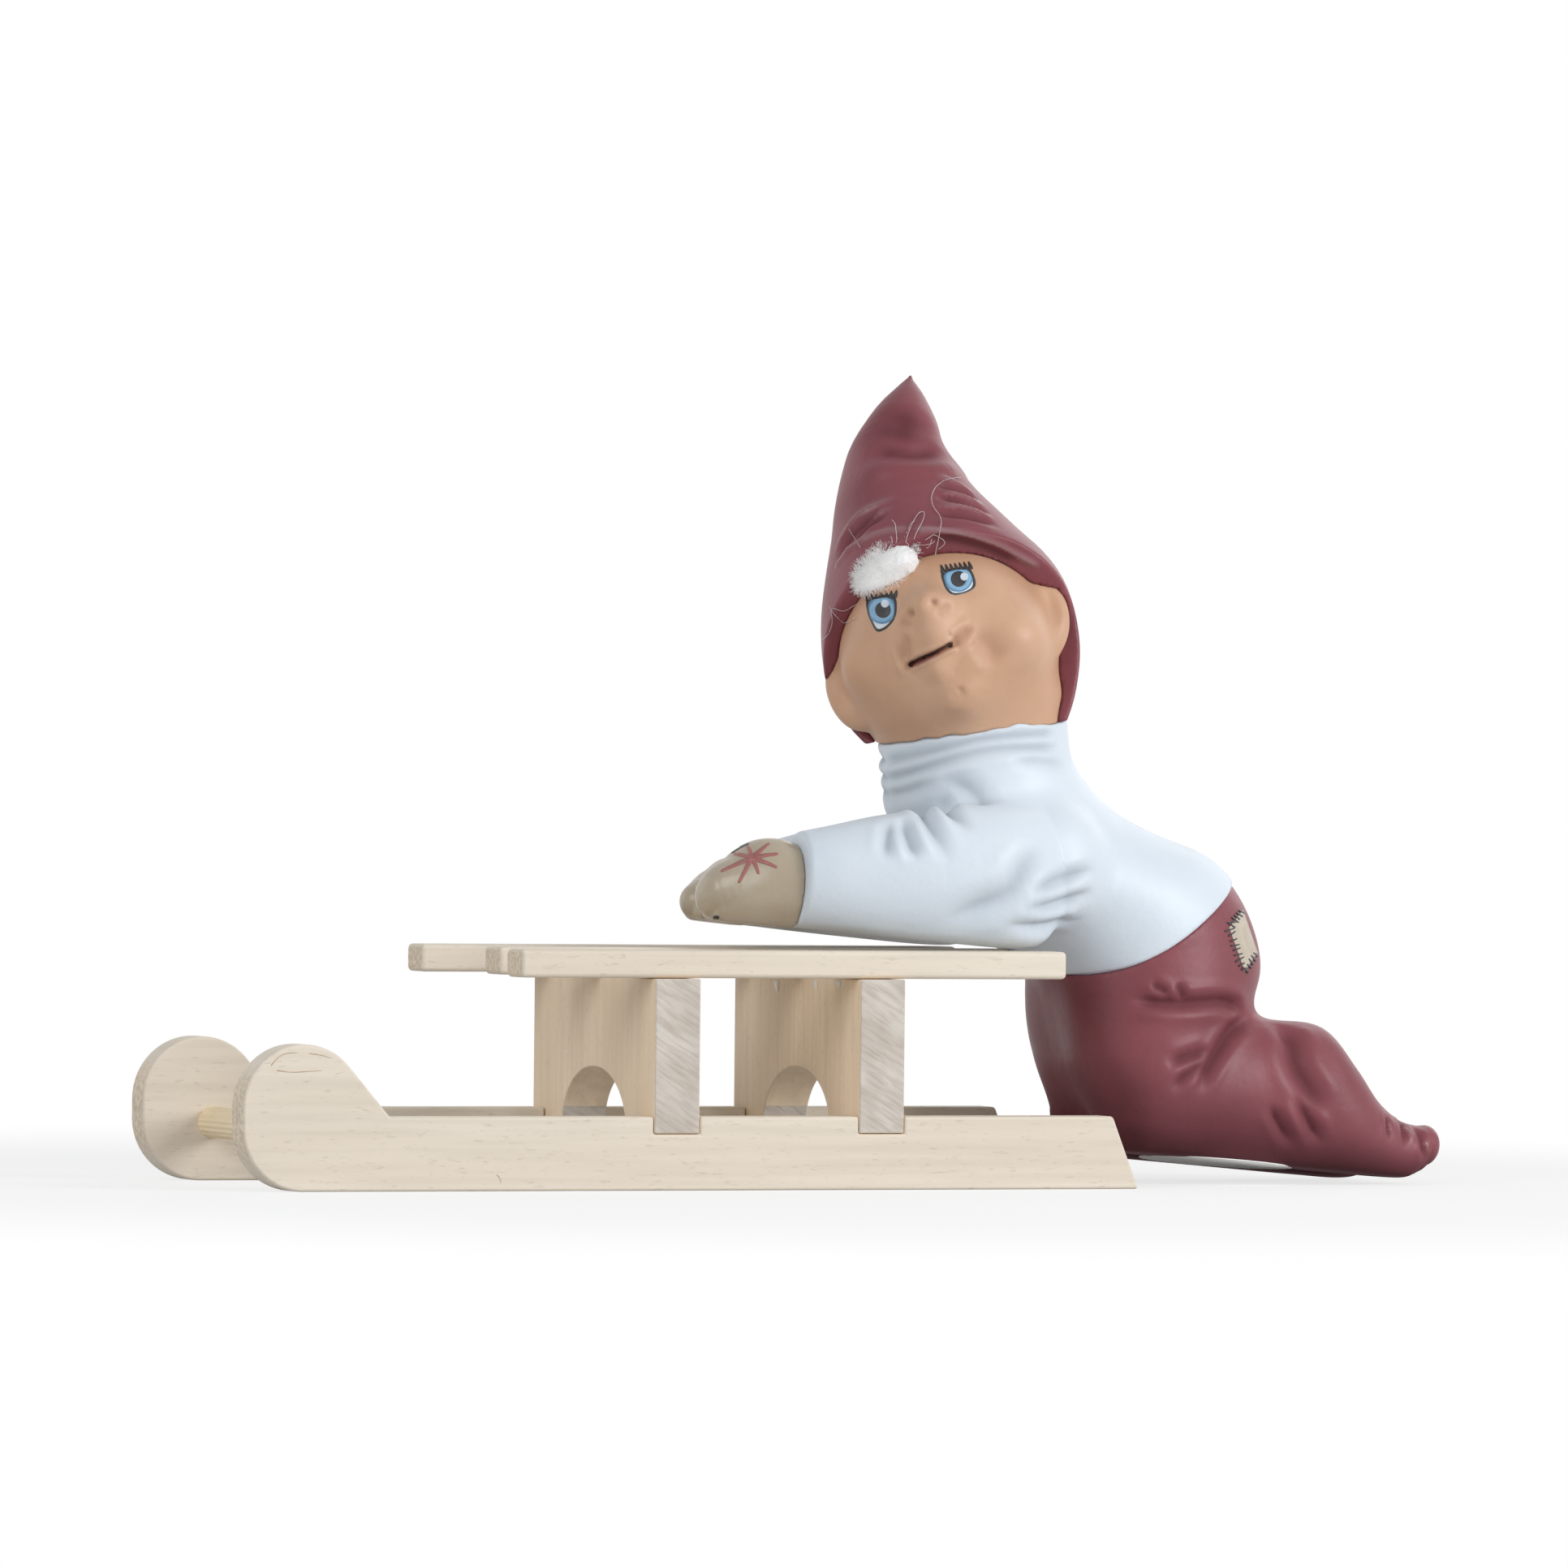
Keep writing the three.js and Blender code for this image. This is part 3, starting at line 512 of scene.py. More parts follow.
trunk_field = loft(TRUNK, start_cap=0.8, end_cap=0, core=TRUNK_CORE)
seat_field = loft(TRUNK, start_cap=0.8, end_cap=0, grow=-SWEATER_STEP, core=TRUNK_CORE)
arm_fields = {side: arm_field(side) for side in (-1, 1)}


def sweater_field(p):
    body = keep(trunk_field(p), below_hem(p), HEM_EDGE)
    body = keep(body, above_collar(p), COLLAR_EDGE)
    sleeves = join(arm_fields[-1](p), arm_fields[1](p), ARMS_BLEND)
    sleeves = keep(sleeves, FOREARM_REST - p[:, 2], REST_EDGE)
    sleeves = keep(sleeves, -CUFF - p[:, 0], CUFF_EDGE)
    value = join(body, sleeves, SHOULDER_BLEND)
    return keep(value, -deck_field(p), DECK_EDGE)


def leg_field(side):
    y = side * LEG_SPREAD
    thigh = loft([
        (-90, 52, -58, 58, y * 0.9, LEG - 4),
        (-92.4, 42, -52, 42, y * 0.97, LEG - 1),
        (-91, 31, -51, 27, y, LEG),
        (-87, 21, -53, 17, y, LEG),
        (-82.3, 12, -57, 9, y, LEG - 3),
    ], start_cap=0.8, end_cap=0.5)
    shin = loft([
        (-73.5, -1, -69, 38, y, LEG),
        (-52, -1, -50, 40, y, LEG),
        (-36, -1, -36, 39.9, y, LEG),
        (-25, -1, -23, 39.2, y, LEG),
        (-18, -1, -13.5, 30.5, y, LEG - 1),
        (-11, -0.8, -6, 22, y, LEG - 3),
        (-3, -0.6, 1, 17.3, y, TOE + 2.4),
        (4.5, 1.5, 6.5, 16, y, TOE + 0.4),
        (9.5, 5.5, 10, 16.3, y, TOE - 1.4),
    ], start_cap=0.5, end_cap=0.75)
    return lambda p: join(thigh(p), shin(p), KNEE_BLEND)


leg_fields = {side: leg_field(side) for side in (-1, 1)}


def under_base(p):
    """Distance above the ground plane that the castings were rubbed flat on."""
    return p[:, 2] - (BASE_EDGE - p[:, 1]) * math.tan(math.radians(BASE_ROLL))


def trousers_field(p):
    legs = join(leg_fields[-1](p), leg_fields[1](p), LEGS_BLEND)
    value = join(seat_field(p), legs, HIP_BLEND)
    value = keep(value, -below_hem(p) - HAIRLINE, SEAM_EDGE)
    return keep(value, -under_base(p), SOLE_EDGE)


# Head and hat

HEAD_SIZE = np.array([57, 57, 58])
EAR_HALF = np.array([6.4, 4, 10.8])
EAR_LEAN, EAR_TURN = {-1: 4, 1: 15}, 24
EAR_SINK = 1.5
EAR_DISH = np.array([-0.4, -7.6, 0.6])
EAR_DISH_RADIUS, EAR_DISH_SHAPE = 6, np.array([0.8, 1, 1.35])
EAR_BLEND, EAR_DISH_EDGE, NECK_BLEND, BRIM_EDGE = 3.0, 2.4, 4.0, 1.0
HOOD = HEAD_SIZE[0] / 2 + 5.2
HAT_HEIGHT, HAT_TIP_SIDE = 80, 17
BRIM_SLOPE, BRIM_BACK = 38, 2.5
# Swellings and hollows of the face: pixel in the photograph, spread in degrees, height
FACE = {
    "nose": ((1145, 750), 11, 5.3),
    "nose tip": ((1144, 747), 6.5, 0.5),
    "right wing": ((1119, 760), 5, 1.2),
    "left wing": ((1169, 746), 5, 1.2),
    "right nostril": ((1125, 763), 2.6, -1.0),
    "left nostril": ((1152, 755), 2.6, -1.0),
    "muzzle": ((1152, 786), 12, 3.4),
    "lower lip": ((1154, 824), 6.5, 1.7),
    "chin": ((1184, 858), 12, 2.5),
    "chin dimple": ((1182, 848), 1.6, -0.6),
    "right cheek": ((1056, 824), 14, 3.0),
    "left cheek": ((1262, 784), 16, 3.4),
    "right eye": ((1087, 755), 8, -1.1),
    "left eye": ((1181, 716), 8, -1.1),
    "right mouth end": ((1119, 821), 2.4, -1.5),
    "left mouth end": ((1176, 793), 2.4, -1.5),
}


def egg_radius(way):
    return np.linalg.norm(way * HEAD_SIZE, axis=1) / 2


def egg_field(p):
    reach = np.maximum(np.linalg.norm(p, axis=1), TINY)
    return reach - egg_radius(p / reach[:, None])


FACE_POINTS = seen(egg_field, HEAD, [pixel for pixel, _, _ in FACE.values()])
FACE_WAYS = FACE_POINTS / np.linalg.norm(FACE_POINTS, axis=1, keepdims=True)


def skull_field(p):
    reach = np.maximum(np.linalg.norm(p, axis=1), TINY)
    way = p / reach[:, None]
    radius = egg_radius(way)
    for centre, (_, spread, height) in zip(FACE_WAYS, FACE.values()):
        angle = np.arccos(np.clip(way @ centre, -1, 1))
        radius = radius + height * np.exp(-(angle / math.radians(spread)) ** 2)
    return reach - radius


def ear_field(side):
    spun = turn("y", side * EAR_LEAN[side]) @ turn("z", side * EAR_TURN)
    middle = np.array([side * (HEAD_SIZE[0] / 2 - EAR_SINK), -BRIM_BACK, -1])

    def field(p):
        q = (p - middle) @ spun
        off = (q - EAR_DISH * [side, 1, 1]) / EAR_DISH_SHAPE
        dish = np.linalg.norm(off, axis=1) - EAR_DISH_RADIUS
        return keep(ellipsoid(q, EAR_HALF), -dish, EAR_DISH_EDGE)

    return field


ear_fields = {side: ear_field(side) for side in (-1, 1)}


def over_collar(p):
    """Height over the collar's rim, for points of the head's frame."""
    return above_collar(FIGURE.into(HEAD.out(p)))


neck_loft = loft(TRUNK[-3:], start_cap=0, end_cap=0.5, grow=-0.7)


def neck_field(p):
    """The throat, which fills the collar."""
    return neck_loft(FIGURE.into(HEAD.out(p)))


def head_form(p):
    ears = join(ear_fields[-1](p), ear_fields[1](p), 0.5)
    return join(skull_field(p), ears, EAR_BLEND)


def head_and_neck(p):
    return join(head_form(p), neck_field(p), NECK_BLEND)


def head_field(p):
    return keep(head_and_neck(p), HAIRLINE - over_collar(p), SEAM_EDGE)


BRIM_LINE = [(-60, 8.5), (-16, 5.5), (-9, 4.6), (-2, 2.4), (4.7, -3.5)]
BRIM_REACH = 90


def before_brim(p):
    """Positive in front of the brim, which slopes up over the forehead and drops behind the ears."""
    z, y = BRIM_LINE[-1]
    end = (z + BRIM_REACH * math.tan(math.radians(BRIM_SLOPE)), y - BRIM_REACH)
    z, y = np.array([*BRIM_LINE, end]).T
    return (np.interp(p[:, 2], z, y) - p[:, 1]) * math.cos(math.radians(BRIM_SLOPE))


# Rings of the hat: share of its height, inset, share of the bend to the side, and how far the brow steps in
HAT_RINGS = [
    (-0.41, 18.7, 0.06, 0),
    (-0.36, 13.7, 0.06, 0),
    (-0.28, 8.8, 0.08, 0),
    (-0.195, 5.1, 0.09, 0),
    (-0.1, 1.9, 0.08, 0),
    (0.014, 0, 0.07, 0.6),
    (0.116, 0.5, 0.1, 1.6),
    (0.211, 2.35, 0.1, 2.6),
    (0.304, 5.4, 0.08, 2.4),
    (0.418, 9.55, 0.09, 1.8),
    (0.518, 13.3, 0.11, 1),
    (0.619, 16.35, 0.15, 0),
    (0.731, 19.6, 0.25, 0),
    (0.816, 21.9, 0.41, 0),
    (0.908, 26.4, 0.64, 0),
    (0.9625, 30.5, 0.83, 0),
    (0.984, 32.3, 0.91, 0),
    (0.996, 33.2, 0.97, 0),
]
HAT_CORE = 0.55


def hat_form():
    """The whole cone, before the brim is cut."""
    stations = []
    for h, inset, bend, brow in HAT_RINGS:
        z = HAT_HEIGHT * h
        front, back = inset + brow - HOOD, HOOD + 1 - inset
        stations.append((front, z, back, z, -HAT_TIP_SIDE * bend, HOOD - inset))
    form = loft(stations, start_cap=0.3, end_cap=0.5, steps=3, core=HAT_CORE)
    return lambda p: form(np.stack([p[:, 1], -p[:, 0], p[:, 2]], 1))


hat_shell = hat_form()


def hat_field(p):
    value = keep(hat_shell(p), before_brim(p), BRIM_EDGE)
    value = keep(value, HAIRLINE - head_and_neck(p), SEAM_EDGE)
    return keep(value, HAIRLINE - over_collar(p), SEAM_EDGE)


# Materials

def nodes_of(name):
    """A new material, its tree and its main shader."""
    material = bpy.data.materials.new(name)
    material.use_nodes = True
    tree = material.node_tree
    return material, tree, tree.nodes["Principled BSDF"]


def put(tree, socket, value):
    """Sets a socket to a constant, or links it to another socket."""
    if isinstance(value, bpy.types.NodeSocket):
        tree.links.new(value, socket)
    else:
        socket.default_value = value


def coat(tree, shader, tone, roughness):
    """Gives a shader its colour and its roughness."""
    put(tree, shader.inputs["Base Color"], tone)
    put(tree, shader.inputs["Roughness"], roughness)


def add(tree, kind, *sockets, **values):
    """A shader node, with its sockets filled in order and its settings and other sockets by name."""
    node = tree.nodes.new(kind)
    for key, value in values.items():
        if hasattr(node, key):
            setattr(node, key, value)
        else:
            put(tree, node.inputs[key.replace("_", " ").title()], value)
    for socket, value in zip(node.inputs, sockets):
        put(tree, socket, value)
    return node


def mixed(tree, factor, one, two):
    """A colour between two, which are colours or sockets."""
    node = add(tree, "ShaderNodeMix", factor, data_type="RGBA")
    for socket, value in ((node.inputs[6], one), (node.inputs[7], two)):
        put(tree, socket, (*value, 1) if isinstance(value, tuple) else value)
    return node.outputs[2]


def own_place(tree):
    return add(tree, "ShaderNodeTexCoord").outputs["Object"]


def ramped(tree, value, low, high, **settings):
    """A value spread from 0 at low to 1 at high."""
    return add(tree, "ShaderNodeMapRange", value, low, high, **settings).outputs["Result"]


def noise(tree, scale, detail=3.0, stretch=(1, 1, 1), low=0.35, high=0.65):
    """Noise between 0 and 1 over the object's own coordinates, stretched along the axes."""
    mapping = add(tree, "ShaderNodeMapping", own_place(tree), scale=stretch)
    texture = add(tree, "ShaderNodeTexNoise", mapping.outputs[0], scale=scale, detail=detail)
    return ramped(tree, texture.outputs[0], low, high)


def attribute(tree, name):
    return add(tree, "ShaderNodeAttribute", attribute_name=name).outputs["Fac"]


def weighted(tree, value, weight):
    return add(tree, "ShaderNodeMath", value, weight, operation="MULTIPLY").outputs[0]


def bumped(tree, shader, height, strength, distance):
    bump = add(tree, "ShaderNodeBump", strength=strength, distance=distance)
    tree.links.new(height, bump.inputs["Height"])
    tree.links.new(bump.outputs["Normal"], shader.inputs["Normal"])


# How pale a ridge's painted highlight makes the paint, and how much rougher the painted shading leaves it
RIDGE_HIGHLIGHT, PAINTED_SHADING_MATT = 0.72, 0.9


def paint(name, light, mid, dark, roughness, shine=0.5):
    """Brushed satin paint over earthenware, with painted shade in the creases and a painted highlight on
    sharp ridges.
    """
    material, tree, shader = nodes_of(name)
    tone = mixed(tree, noise(tree, 55), mid, light)
    painted_shading = attribute(tree, "painted_shading")
    # Painted shade: creases take the darker colour
    tone = mixed(tree, painted_shading, tone, dark)
    ridge_highlight = tuple(1 - (1 - c) * RIDGE_HIGHLIGHT for c in light)
    # Painted highlight: ridges take a paler colour
    tone = mixed(tree, weighted(tree, painted_shading, -1), tone, ridge_highlight)
    matt = add(tree, "ShaderNodeMath", painted_shading, PAINTED_SHADING_MATT, roughness, operation="MULTIPLY_ADD", use_clamp=True)
    coat(tree, shader, tone, matt.outputs[0])
    shader.inputs["Specular IOR Level"].default_value = shine
    bumped(tree, shader, noise(tree, 420, 4.0), 0.25, 0.00012)
    return material


# Each paint: two tones, the colour of its painted shade in creases, roughness and shine
BURGUNDY = paint("burgundy", (0.245, 0.066, 0.083), (0.205, 0.054, 0.067), (0.05, 0.014, 0.016), 0.42, 0.3)
WHITE = paint("sweater_white", (0.7, 0.77, 0.84), (0.67, 0.745, 0.82), (0.32, 0.36, 0.41), 0.45, 0.4)
SKIN = paint("skin", (0.63, 0.39, 0.258), (0.575, 0.34, 0.215), (0.2, 0.075, 0.045), 0.46, 0.35)
BEIGE = paint("mitten_beige", (0.5, 0.43, 0.325), (0.435, 0.362, 0.265), (0.2, 0.15, 0.1), 0.26)


def dress(made, material, slot, *nodes):
    """Gives a figure piece its finish and its place in the frame."""
    made.data.materials.append(material)
    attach(made, "figure")
    if nodes:
        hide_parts(*nodes)
    return made


# Creases: pixels along the line, depth and width, then shoulder, strength of the painted shade (a painted
# highlight on ridges) and taper where they differ

TROUSER_CREASES = [
    Crease([(1386, 1230), (1429, 1235), (1461, 1236), (1504, 1234), (1524, 1240), (1537, 1252)],
           2.0, 1.5, taper=0.2),
    Crease([(1416, 1211), (1429, 1218), (1443, 1223)], 1.1, 1.0),
    Crease([(1450, 1209), (1455, 1221), (1462, 1234)], 1.1, 1.0),
    Crease([(1540, 1250), (1518, 1270), (1504, 1291), (1490, 1316), (1475, 1350)], 2.0, 1.5, taper=0.25),
    Crease([(1494, 1291), (1469, 1301), (1434, 1311)], 1.5, 1.3),
    Crease([(1489, 1307), (1461, 1326), (1442, 1348)], 1.3, 1.2),
    Crease([(1575, 1259), (1592, 1284), (1598, 1312), (1615, 1344), (1634, 1378)], 2.2, 2.4, taper=0.25),
    Crease([(1563, 1357), (1576, 1384), (1594, 1415)], 1.8, 1.4),
    Crease([(1596, 1346), (1613, 1382), (1630, 1415)], 1.9, 1.5),
    Crease([(1703, 1356), (1710, 1380), (1712, 1408)], 0.9, 0.9),
    Crease([(1722, 1370), (1729, 1390), (1732, 1418)], 0.9, 0.9),
    Crease([(1738, 1384), (1751, 1401), (1756, 1430)], 1.1, 0.9),
    Crease([(1702, 1364), (1709, 1376), (1713, 1390), (1711, 1404)], -0.35, 0.6, 0.1, 0.8),
    Crease([(1720, 1376), (1730, 1388), (1738, 1400), (1740, 1412)], -0.35, 0.6, 0.1, 0.8),
    Crease([(1739, 1385), (1749, 1396), (1756, 1409), (1760, 1424)], -0.35, 0.6, 0.1, 0.8),
]
SWEATER_CREASES = [
    Crease([(1096, 1008), (1093, 1032), (1090, 1064)], 1.3, 1.5),
    Crease([(1110, 1006), (1121, 1036), (1132, 1064)], 2.0, 1.5),
    Crease([(1132, 992), (1149, 1020), (1162, 1046), (1172, 1070)], 2.2, 1.6),
    Crease([(1148, 982), (1178, 1005), (1202, 1027)], 2.0, 1.6),
    Crease([(1150, 962), (1188, 970), (1218, 996)], 0.9, 2.2),
    Crease([(1262, 1106), (1311, 1083), (1354, 1071)], 1.6, 1.5),
    Crease([(1252, 1122), (1301, 1115), (1352, 1096)], 1.7, 1.5),
    Crease([(1228, 1137), (1275, 1142), (1340, 1133)], 1.7, 1.6),
    Crease([(1296, 1040), (1268, 1066), (1244, 1100), (1207, 1118), (1150, 1140)], 1.9, 2.8),
    Crease([(1088, 940), (1150, 926), (1215, 911), (1304, 903)], 1.2, 1.1, taper=0.12),
    Crease([(1087, 962), (1122, 952), (1169, 936), (1230, 923), (1308, 921)], 1.3, 1.3, taper=0.15),
    Crease([(1090, 980), (1122, 972), (1160, 958)], 0.9, 1.6),
    Crease([(1236, 938), (1280, 937), (1316, 942)], 0.7, 1.4),
]
FACE_CREASES = [
    Crease([(1119, 821), (1134, 813), (1148, 807), (1160, 801), (1176, 792)], 1.7, 0.55, 0.35, 1.6, 0.08),
    Crease([(1172, 793), (1183, 785), (1193, 777), (1202, 773)], 1.0, 1.0, 0.35, 0.25),
    Crease([(1194, 779), (1208, 787), (1221, 803), (1232, 824)], 1.2, 3.4, 0.25, 0.14),
    Crease([(1186, 800), (1200, 812), (1214, 832)], -0.6, 2.6, 0.2, 0),
    Crease([(1112, 776), (1115, 790), (1116, 806), (1116, 820)], 1.0, 1.5, 0.3, 0.2),
    Crease([(1102, 784), (1103, 802), (1107, 820), (1118, 836)], -0.9, 1.7, 0.15, 0),
    Crease([(1106, 767), (1116, 770), (1126, 766)], 0.6, 1.1, 0.2, 0.25),
    Crease([(1150, 757), (1164, 751), (1174, 743)], 0.6, 1.1, 0.2, 0.25),
    Crease([(1168, 853), (1181, 857), (1194, 851)], 0.5, 1.6, 0.3, 0.1),
    Crease([(1117, 757), (1122, 756), (1128, 754)], 0.5, 0.9, 0.2, 0.9),
    Crease([(1147, 744), (1151, 742), (1156, 742)], 0.5, 0.9, 0.2, 0.9),
]
HAT_CREASES = [
    Crease([(1066, 553), (1098, 554), (1133, 556), (1164, 548)], 1.8, 2.8, 0.55, taper=0.3),
    Crease([(1121, 496), (1115, 522), (1105, 552)], 1.2, 6.0, 0.1, 0.55),
    Crease([(1030, 694), (1043, 668), (1062, 646), (1090, 625)], 1.4, 1.4, 0.4),
    Crease([(1044, 678), (1069, 648), (1098, 630)], 1.1, 1.1, 0.4),
    Crease([(1036, 668), (1051, 644), (1066, 631), (1086, 620), (1110, 610)], -0.6, 0.9, 0.1, 0.4),
    Crease([(1050, 670), (1061, 653), (1074, 639), (1089, 630), (1106, 625)], -0.5, 0.8, 0.1, 0.4),
    Crease([(1150, 594), (1180, 604), (1206, 617)], 1.4, 1.2, 0.3),
    Crease([(1148, 606), (1184, 619), (1222, 634)], 1.4, 1.2, 0.3),
    Crease([(1143, 630), (1190, 635), (1232, 648)], 1.3, 1.3, 0.3),
    Crease([(1148, 586), (1173, 594), (1196, 605)], -0.5, 0.8, 0.1, 0.5),
    Crease([(1148, 607), (1180, 612), (1215, 622)], -0.5, 0.8, 0.1, 0.5),
    Crease([(1148, 624), (1187, 627), (1226, 638)], -0.6, 0.8, 0.1, 0.5),
    Crease([(1140, 664), (1166, 665), (1196, 671), (1228, 682), (1258, 697)], 0.7, 1.7, 0.1, 0.8, 0.2),
    Crease([(1122, 652), (1160, 654), (1195, 660), (1228, 671), (1250, 682), (1284, 700)],
           -0.7, 0.8, 0.1, 0.6, 0.1),
    Crease([(1028, 702), (1043, 680), (1063, 666), (1090, 655), (1122, 652)], -0.6, 0.8, 0.1, 0.5, 0.1),
]


# Painted shade near the ground: how dark it is, and how high it reaches along the legs
BASE_PAINTED_SHADE = 0.8
BASE_PAINTED_SHADE_HEIGHT = [(-95, -60, -20, 0), (27, 20, 12, 8)]


class BasePaintedShade:
    """Painted shade, darkest at the ground, reaching higher at the knees than at the toes."""

    def cut(self, p, field, place):
        height = np.interp(p[:, 0], *BASE_PAINTED_SHADE_HEIGHT)
        return np.zeros(len(p)), BASE_PAINTED_SHADE * np.clip(1 - under_base(p) / height, 0, 1)


TROUSER_CREASES += [crease.far() for crease in TROUSER_CREASES] + [BasePaintedShade()]
SWEATER_CREASES += [crease.far() for crease in SWEATER_CREASES]
HAT_CREASES.append(HAT_CREASES[0].far())


# The figure's pieces

def figure_piece(name, field, place, low, high, cell, creases, material, slot, *nodes):
    return dress(sculpt(name, field, place, low, high, cell, creases), material, slot, *nodes)


TROUSERS = figure_piece(
    "trousers", trousers_field, FIGURE, (-108, -34, -4), (18, 34, 84), 0.65, TROUSER_CREASES,
    BURGUNDY, "burgundy_paint", "trousers_seat", "leg_left", "leg_right")
figure_piece(
    "sweater", sweater_field, FIGURE, (-180, -46, 42), (-34, 46, 122), 0.65, SWEATER_CREASES,
    WHITE, "white_paint", "sweater_body", "sleeve_left", "sleeve_right")
MITTENS = [
    figure_piece(
        f"mitten_{word}_skin", mitten_field(side), FIGURE, (-204, -34, 46), (-166, 34, 80), 0.6, (),
        BEIGE, "mitten_paint", f"mitten_{word}")
    for side, word in ((-1, "left"), (1, "right"))]
HEAD_SKIN = figure_piece(
    "face", head_field, HEAD, (-40, -44, -42), (40, 38, 38), 0.55, FACE_CREASES,
    SKIN, "skin_paint", "head")
HAT = figure_piece(
    "hat_shell", hat_field, HEAD, (-42, -42, -42), (42, 42, 86), 0.65, HAT_CREASES,
    BURGUNDY, "burgundy_paint", "hat")


# Painted marks: thin films laid on a piece where the photograph shows them

def shape_of(made):
    """A piece's faces, ready for rays."""
    return BVHTree.FromPolygons([v.co for v in made.data.vertices], [f.vertices for f in made.data.polygons])


SHAPES = {made.name: shape_of(made) for made in (TROUSERS, *MITTENS, HEAD_SKIN, HAT)}


def landed(made, pixels):
    """Where the photograph's rays land on pieces, in millimetres of the part frame, and the way out there."""
    shapes = [SHAPES[piece.name] for piece in made]
    points, ways = [], []
    for way in sight(pixels):
        hits = [shape.ray_cast(Vector(EYE * MM), Vector(way)) for shape in shapes]
        hits = [hit for hit in hits if hit[0] is not None]
        if not hits:
            hits = [shapes[0].find_nearest(Vector((EYE + way * CAMERA_DISTANCE) * MM))]
        point, out, _, _ = min(hits, key=lambda hit: hit[3])
        points.append(point)
        ways.append(out)
    return np.array(points) / MM, np.array(ways)


PART = Frame(np.eye(3), (0, 0, 0))
FILM = 0.3
AROUND = 48


def laid(made, material):
    """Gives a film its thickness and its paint."""
    thick = made.modifiers.new("film", "SOLIDIFY")
    thick.thickness = FILM * MM
    thick.offset = -1
    made.data.materials.append(material)
    return made


def film(name, grid, on, lift, material, closed=False):
    """A film of paint. grid is rows of pixels, whose ends meet where it is closed."""
    rows, columns = grid.shape[:2]
    points, ways = landed(on, grid.reshape(-1, 2))
    points = points + lift * ways
    number = np.arange(rows * columns).reshape(rows, columns)
    if closed:
        number = np.hstack([number, number[:, :1]])
    corners = [number[:-1, :-1], number[:-1, 1:], number[1:, 1:], number[1:, :-1]]
    faces = np.stack(corners, -1).reshape(-1, 4).tolist()
    if closed:
        faces.append(list(range(columns))[::-1])
    a, b, c = (points[faces[0][k]] for k in range(3))
    if np.cross(b - a, c - a) @ ways[faces[0][0]] < 0:
        faces = [f[::-1] for f in faces]
    return laid(mesh_object(name, points, faces, PART), material)


def on_figure(*made):
    for piece in made:
        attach(piece, "figure")


def closed_curve(points, count=AROUND):
    """A smooth closed line through the points, evenly sampled."""
    points = np.asarray(points, float)
    loop = np.vstack([points[-1:], points, points[:2]])
    line = through(loop, 12)[12:-12]
    far = np.concatenate([[0], np.cumsum(np.linalg.norm(np.diff(line, axis=0), axis=1))])
    at = np.linspace(0, far[-1], count, endpoint=False)
    return np.stack([np.interp(at, far, line[:, k]) for k in range(2)], 1)


def spread(centre, rim, rings=7):
    """Rows of pixels from a centre out to a rim."""
    scale = np.linspace(0.04, 1, rings)[:, None, None]
    return np.asarray(centre) + (rim - np.asarray(centre)) * scale


def polar(off):
    """Angles and distances of points measured from a centre."""
    return np.arctan2(off[:, 1], off[:, 0]) % (2 * math.pi), np.linalg.norm(off, axis=1)


def disc(centre, radius, limit=None):
    """A round rim, kept within another rim."""
    angles = np.linspace(0, 2 * math.pi, AROUND, endpoint=False)
    reach = np.full(AROUND, float(radius))
    if limit is not None:
        off = limit - np.asarray(centre)
        reach = np.minimum(reach, np.interp(angles, *polar(off), period=2 * math.pi))
    return np.asarray(centre) + reach[:, None] * np.stack([np.cos(angles), np.sin(angles)], 1)


def stroke(points, start, end):
    """Rows across a brush stroke that goes from one width to another."""
    line = through(points, 6)
    along = np.gradient(line, axis=0)
    side = np.stack([-along[:, 1], along[:, 0]], 1) / np.linalg.norm(along, axis=1, keepdims=True)
    half = np.linspace(start, end, len(line))[:, None] / 2
    half[0] *= 0.6
    half[-1] *= 0.5
    return np.stack([line - side * half, line, line + side * half], 1)


def brushed(name, dark, light, roughness=0.35):
    """A brush mark's paint, a little uneven."""
    material, tree, shader = nodes_of(name)
    coat(tree, shader, mixed(tree, noise(tree, 300), dark, light), roughness)
    return material


BLACK = brushed("black_line", (0.012, 0.012, 0.015), (0.03, 0.03, 0.034))
DARK = brushed("mouth_dark", (0.045, 0.016, 0.011), (0.07, 0.025, 0.017), 0.85)
EYE_WHITE = brushed("eye_white", (0.66, 0.72, 0.78), (0.74, 0.79, 0.84))
IRIS = brushed("iris_blue", (0.1, 0.24, 0.4), (0.14, 0.3, 0.46))
IRIS_LIGHT = brushed("iris_light", (0.2, 0.4, 0.6), (0.26, 0.46, 0.66))
GLINT = brushed("glint", (0.6, 0.68, 0.76), (0.7, 0.77, 0.84))
STAR_RED = brushed("star_red", (0.33, 0.11, 0.1), (0.4, 0.15, 0.135))
PATCH = brushed("patch_beige", (0.5, 0.43, 0.34), (0.56, 0.49, 0.4), 0.45)


def on_face(name, grid, lift, material, closed=True):
    on_figure(film(name, grid, [HEAD_SKIN], lift, material, closed))


LASH_START, LASH_END = 6.4, 1.4


def lash_row(first, last, lean_first, lean_last, count=7):
    """Roots along the upper lid, with tips that fan out over it."""
    steps = np.linspace(0, 1, count)[:, None]
    roots = np.array(first) * (1 - steps) + np.array(last) * steps
    leans = np.array(lean_first) * (1 - steps) + np.array(lean_last) * steps
    return list(zip(roots, roots + leans))


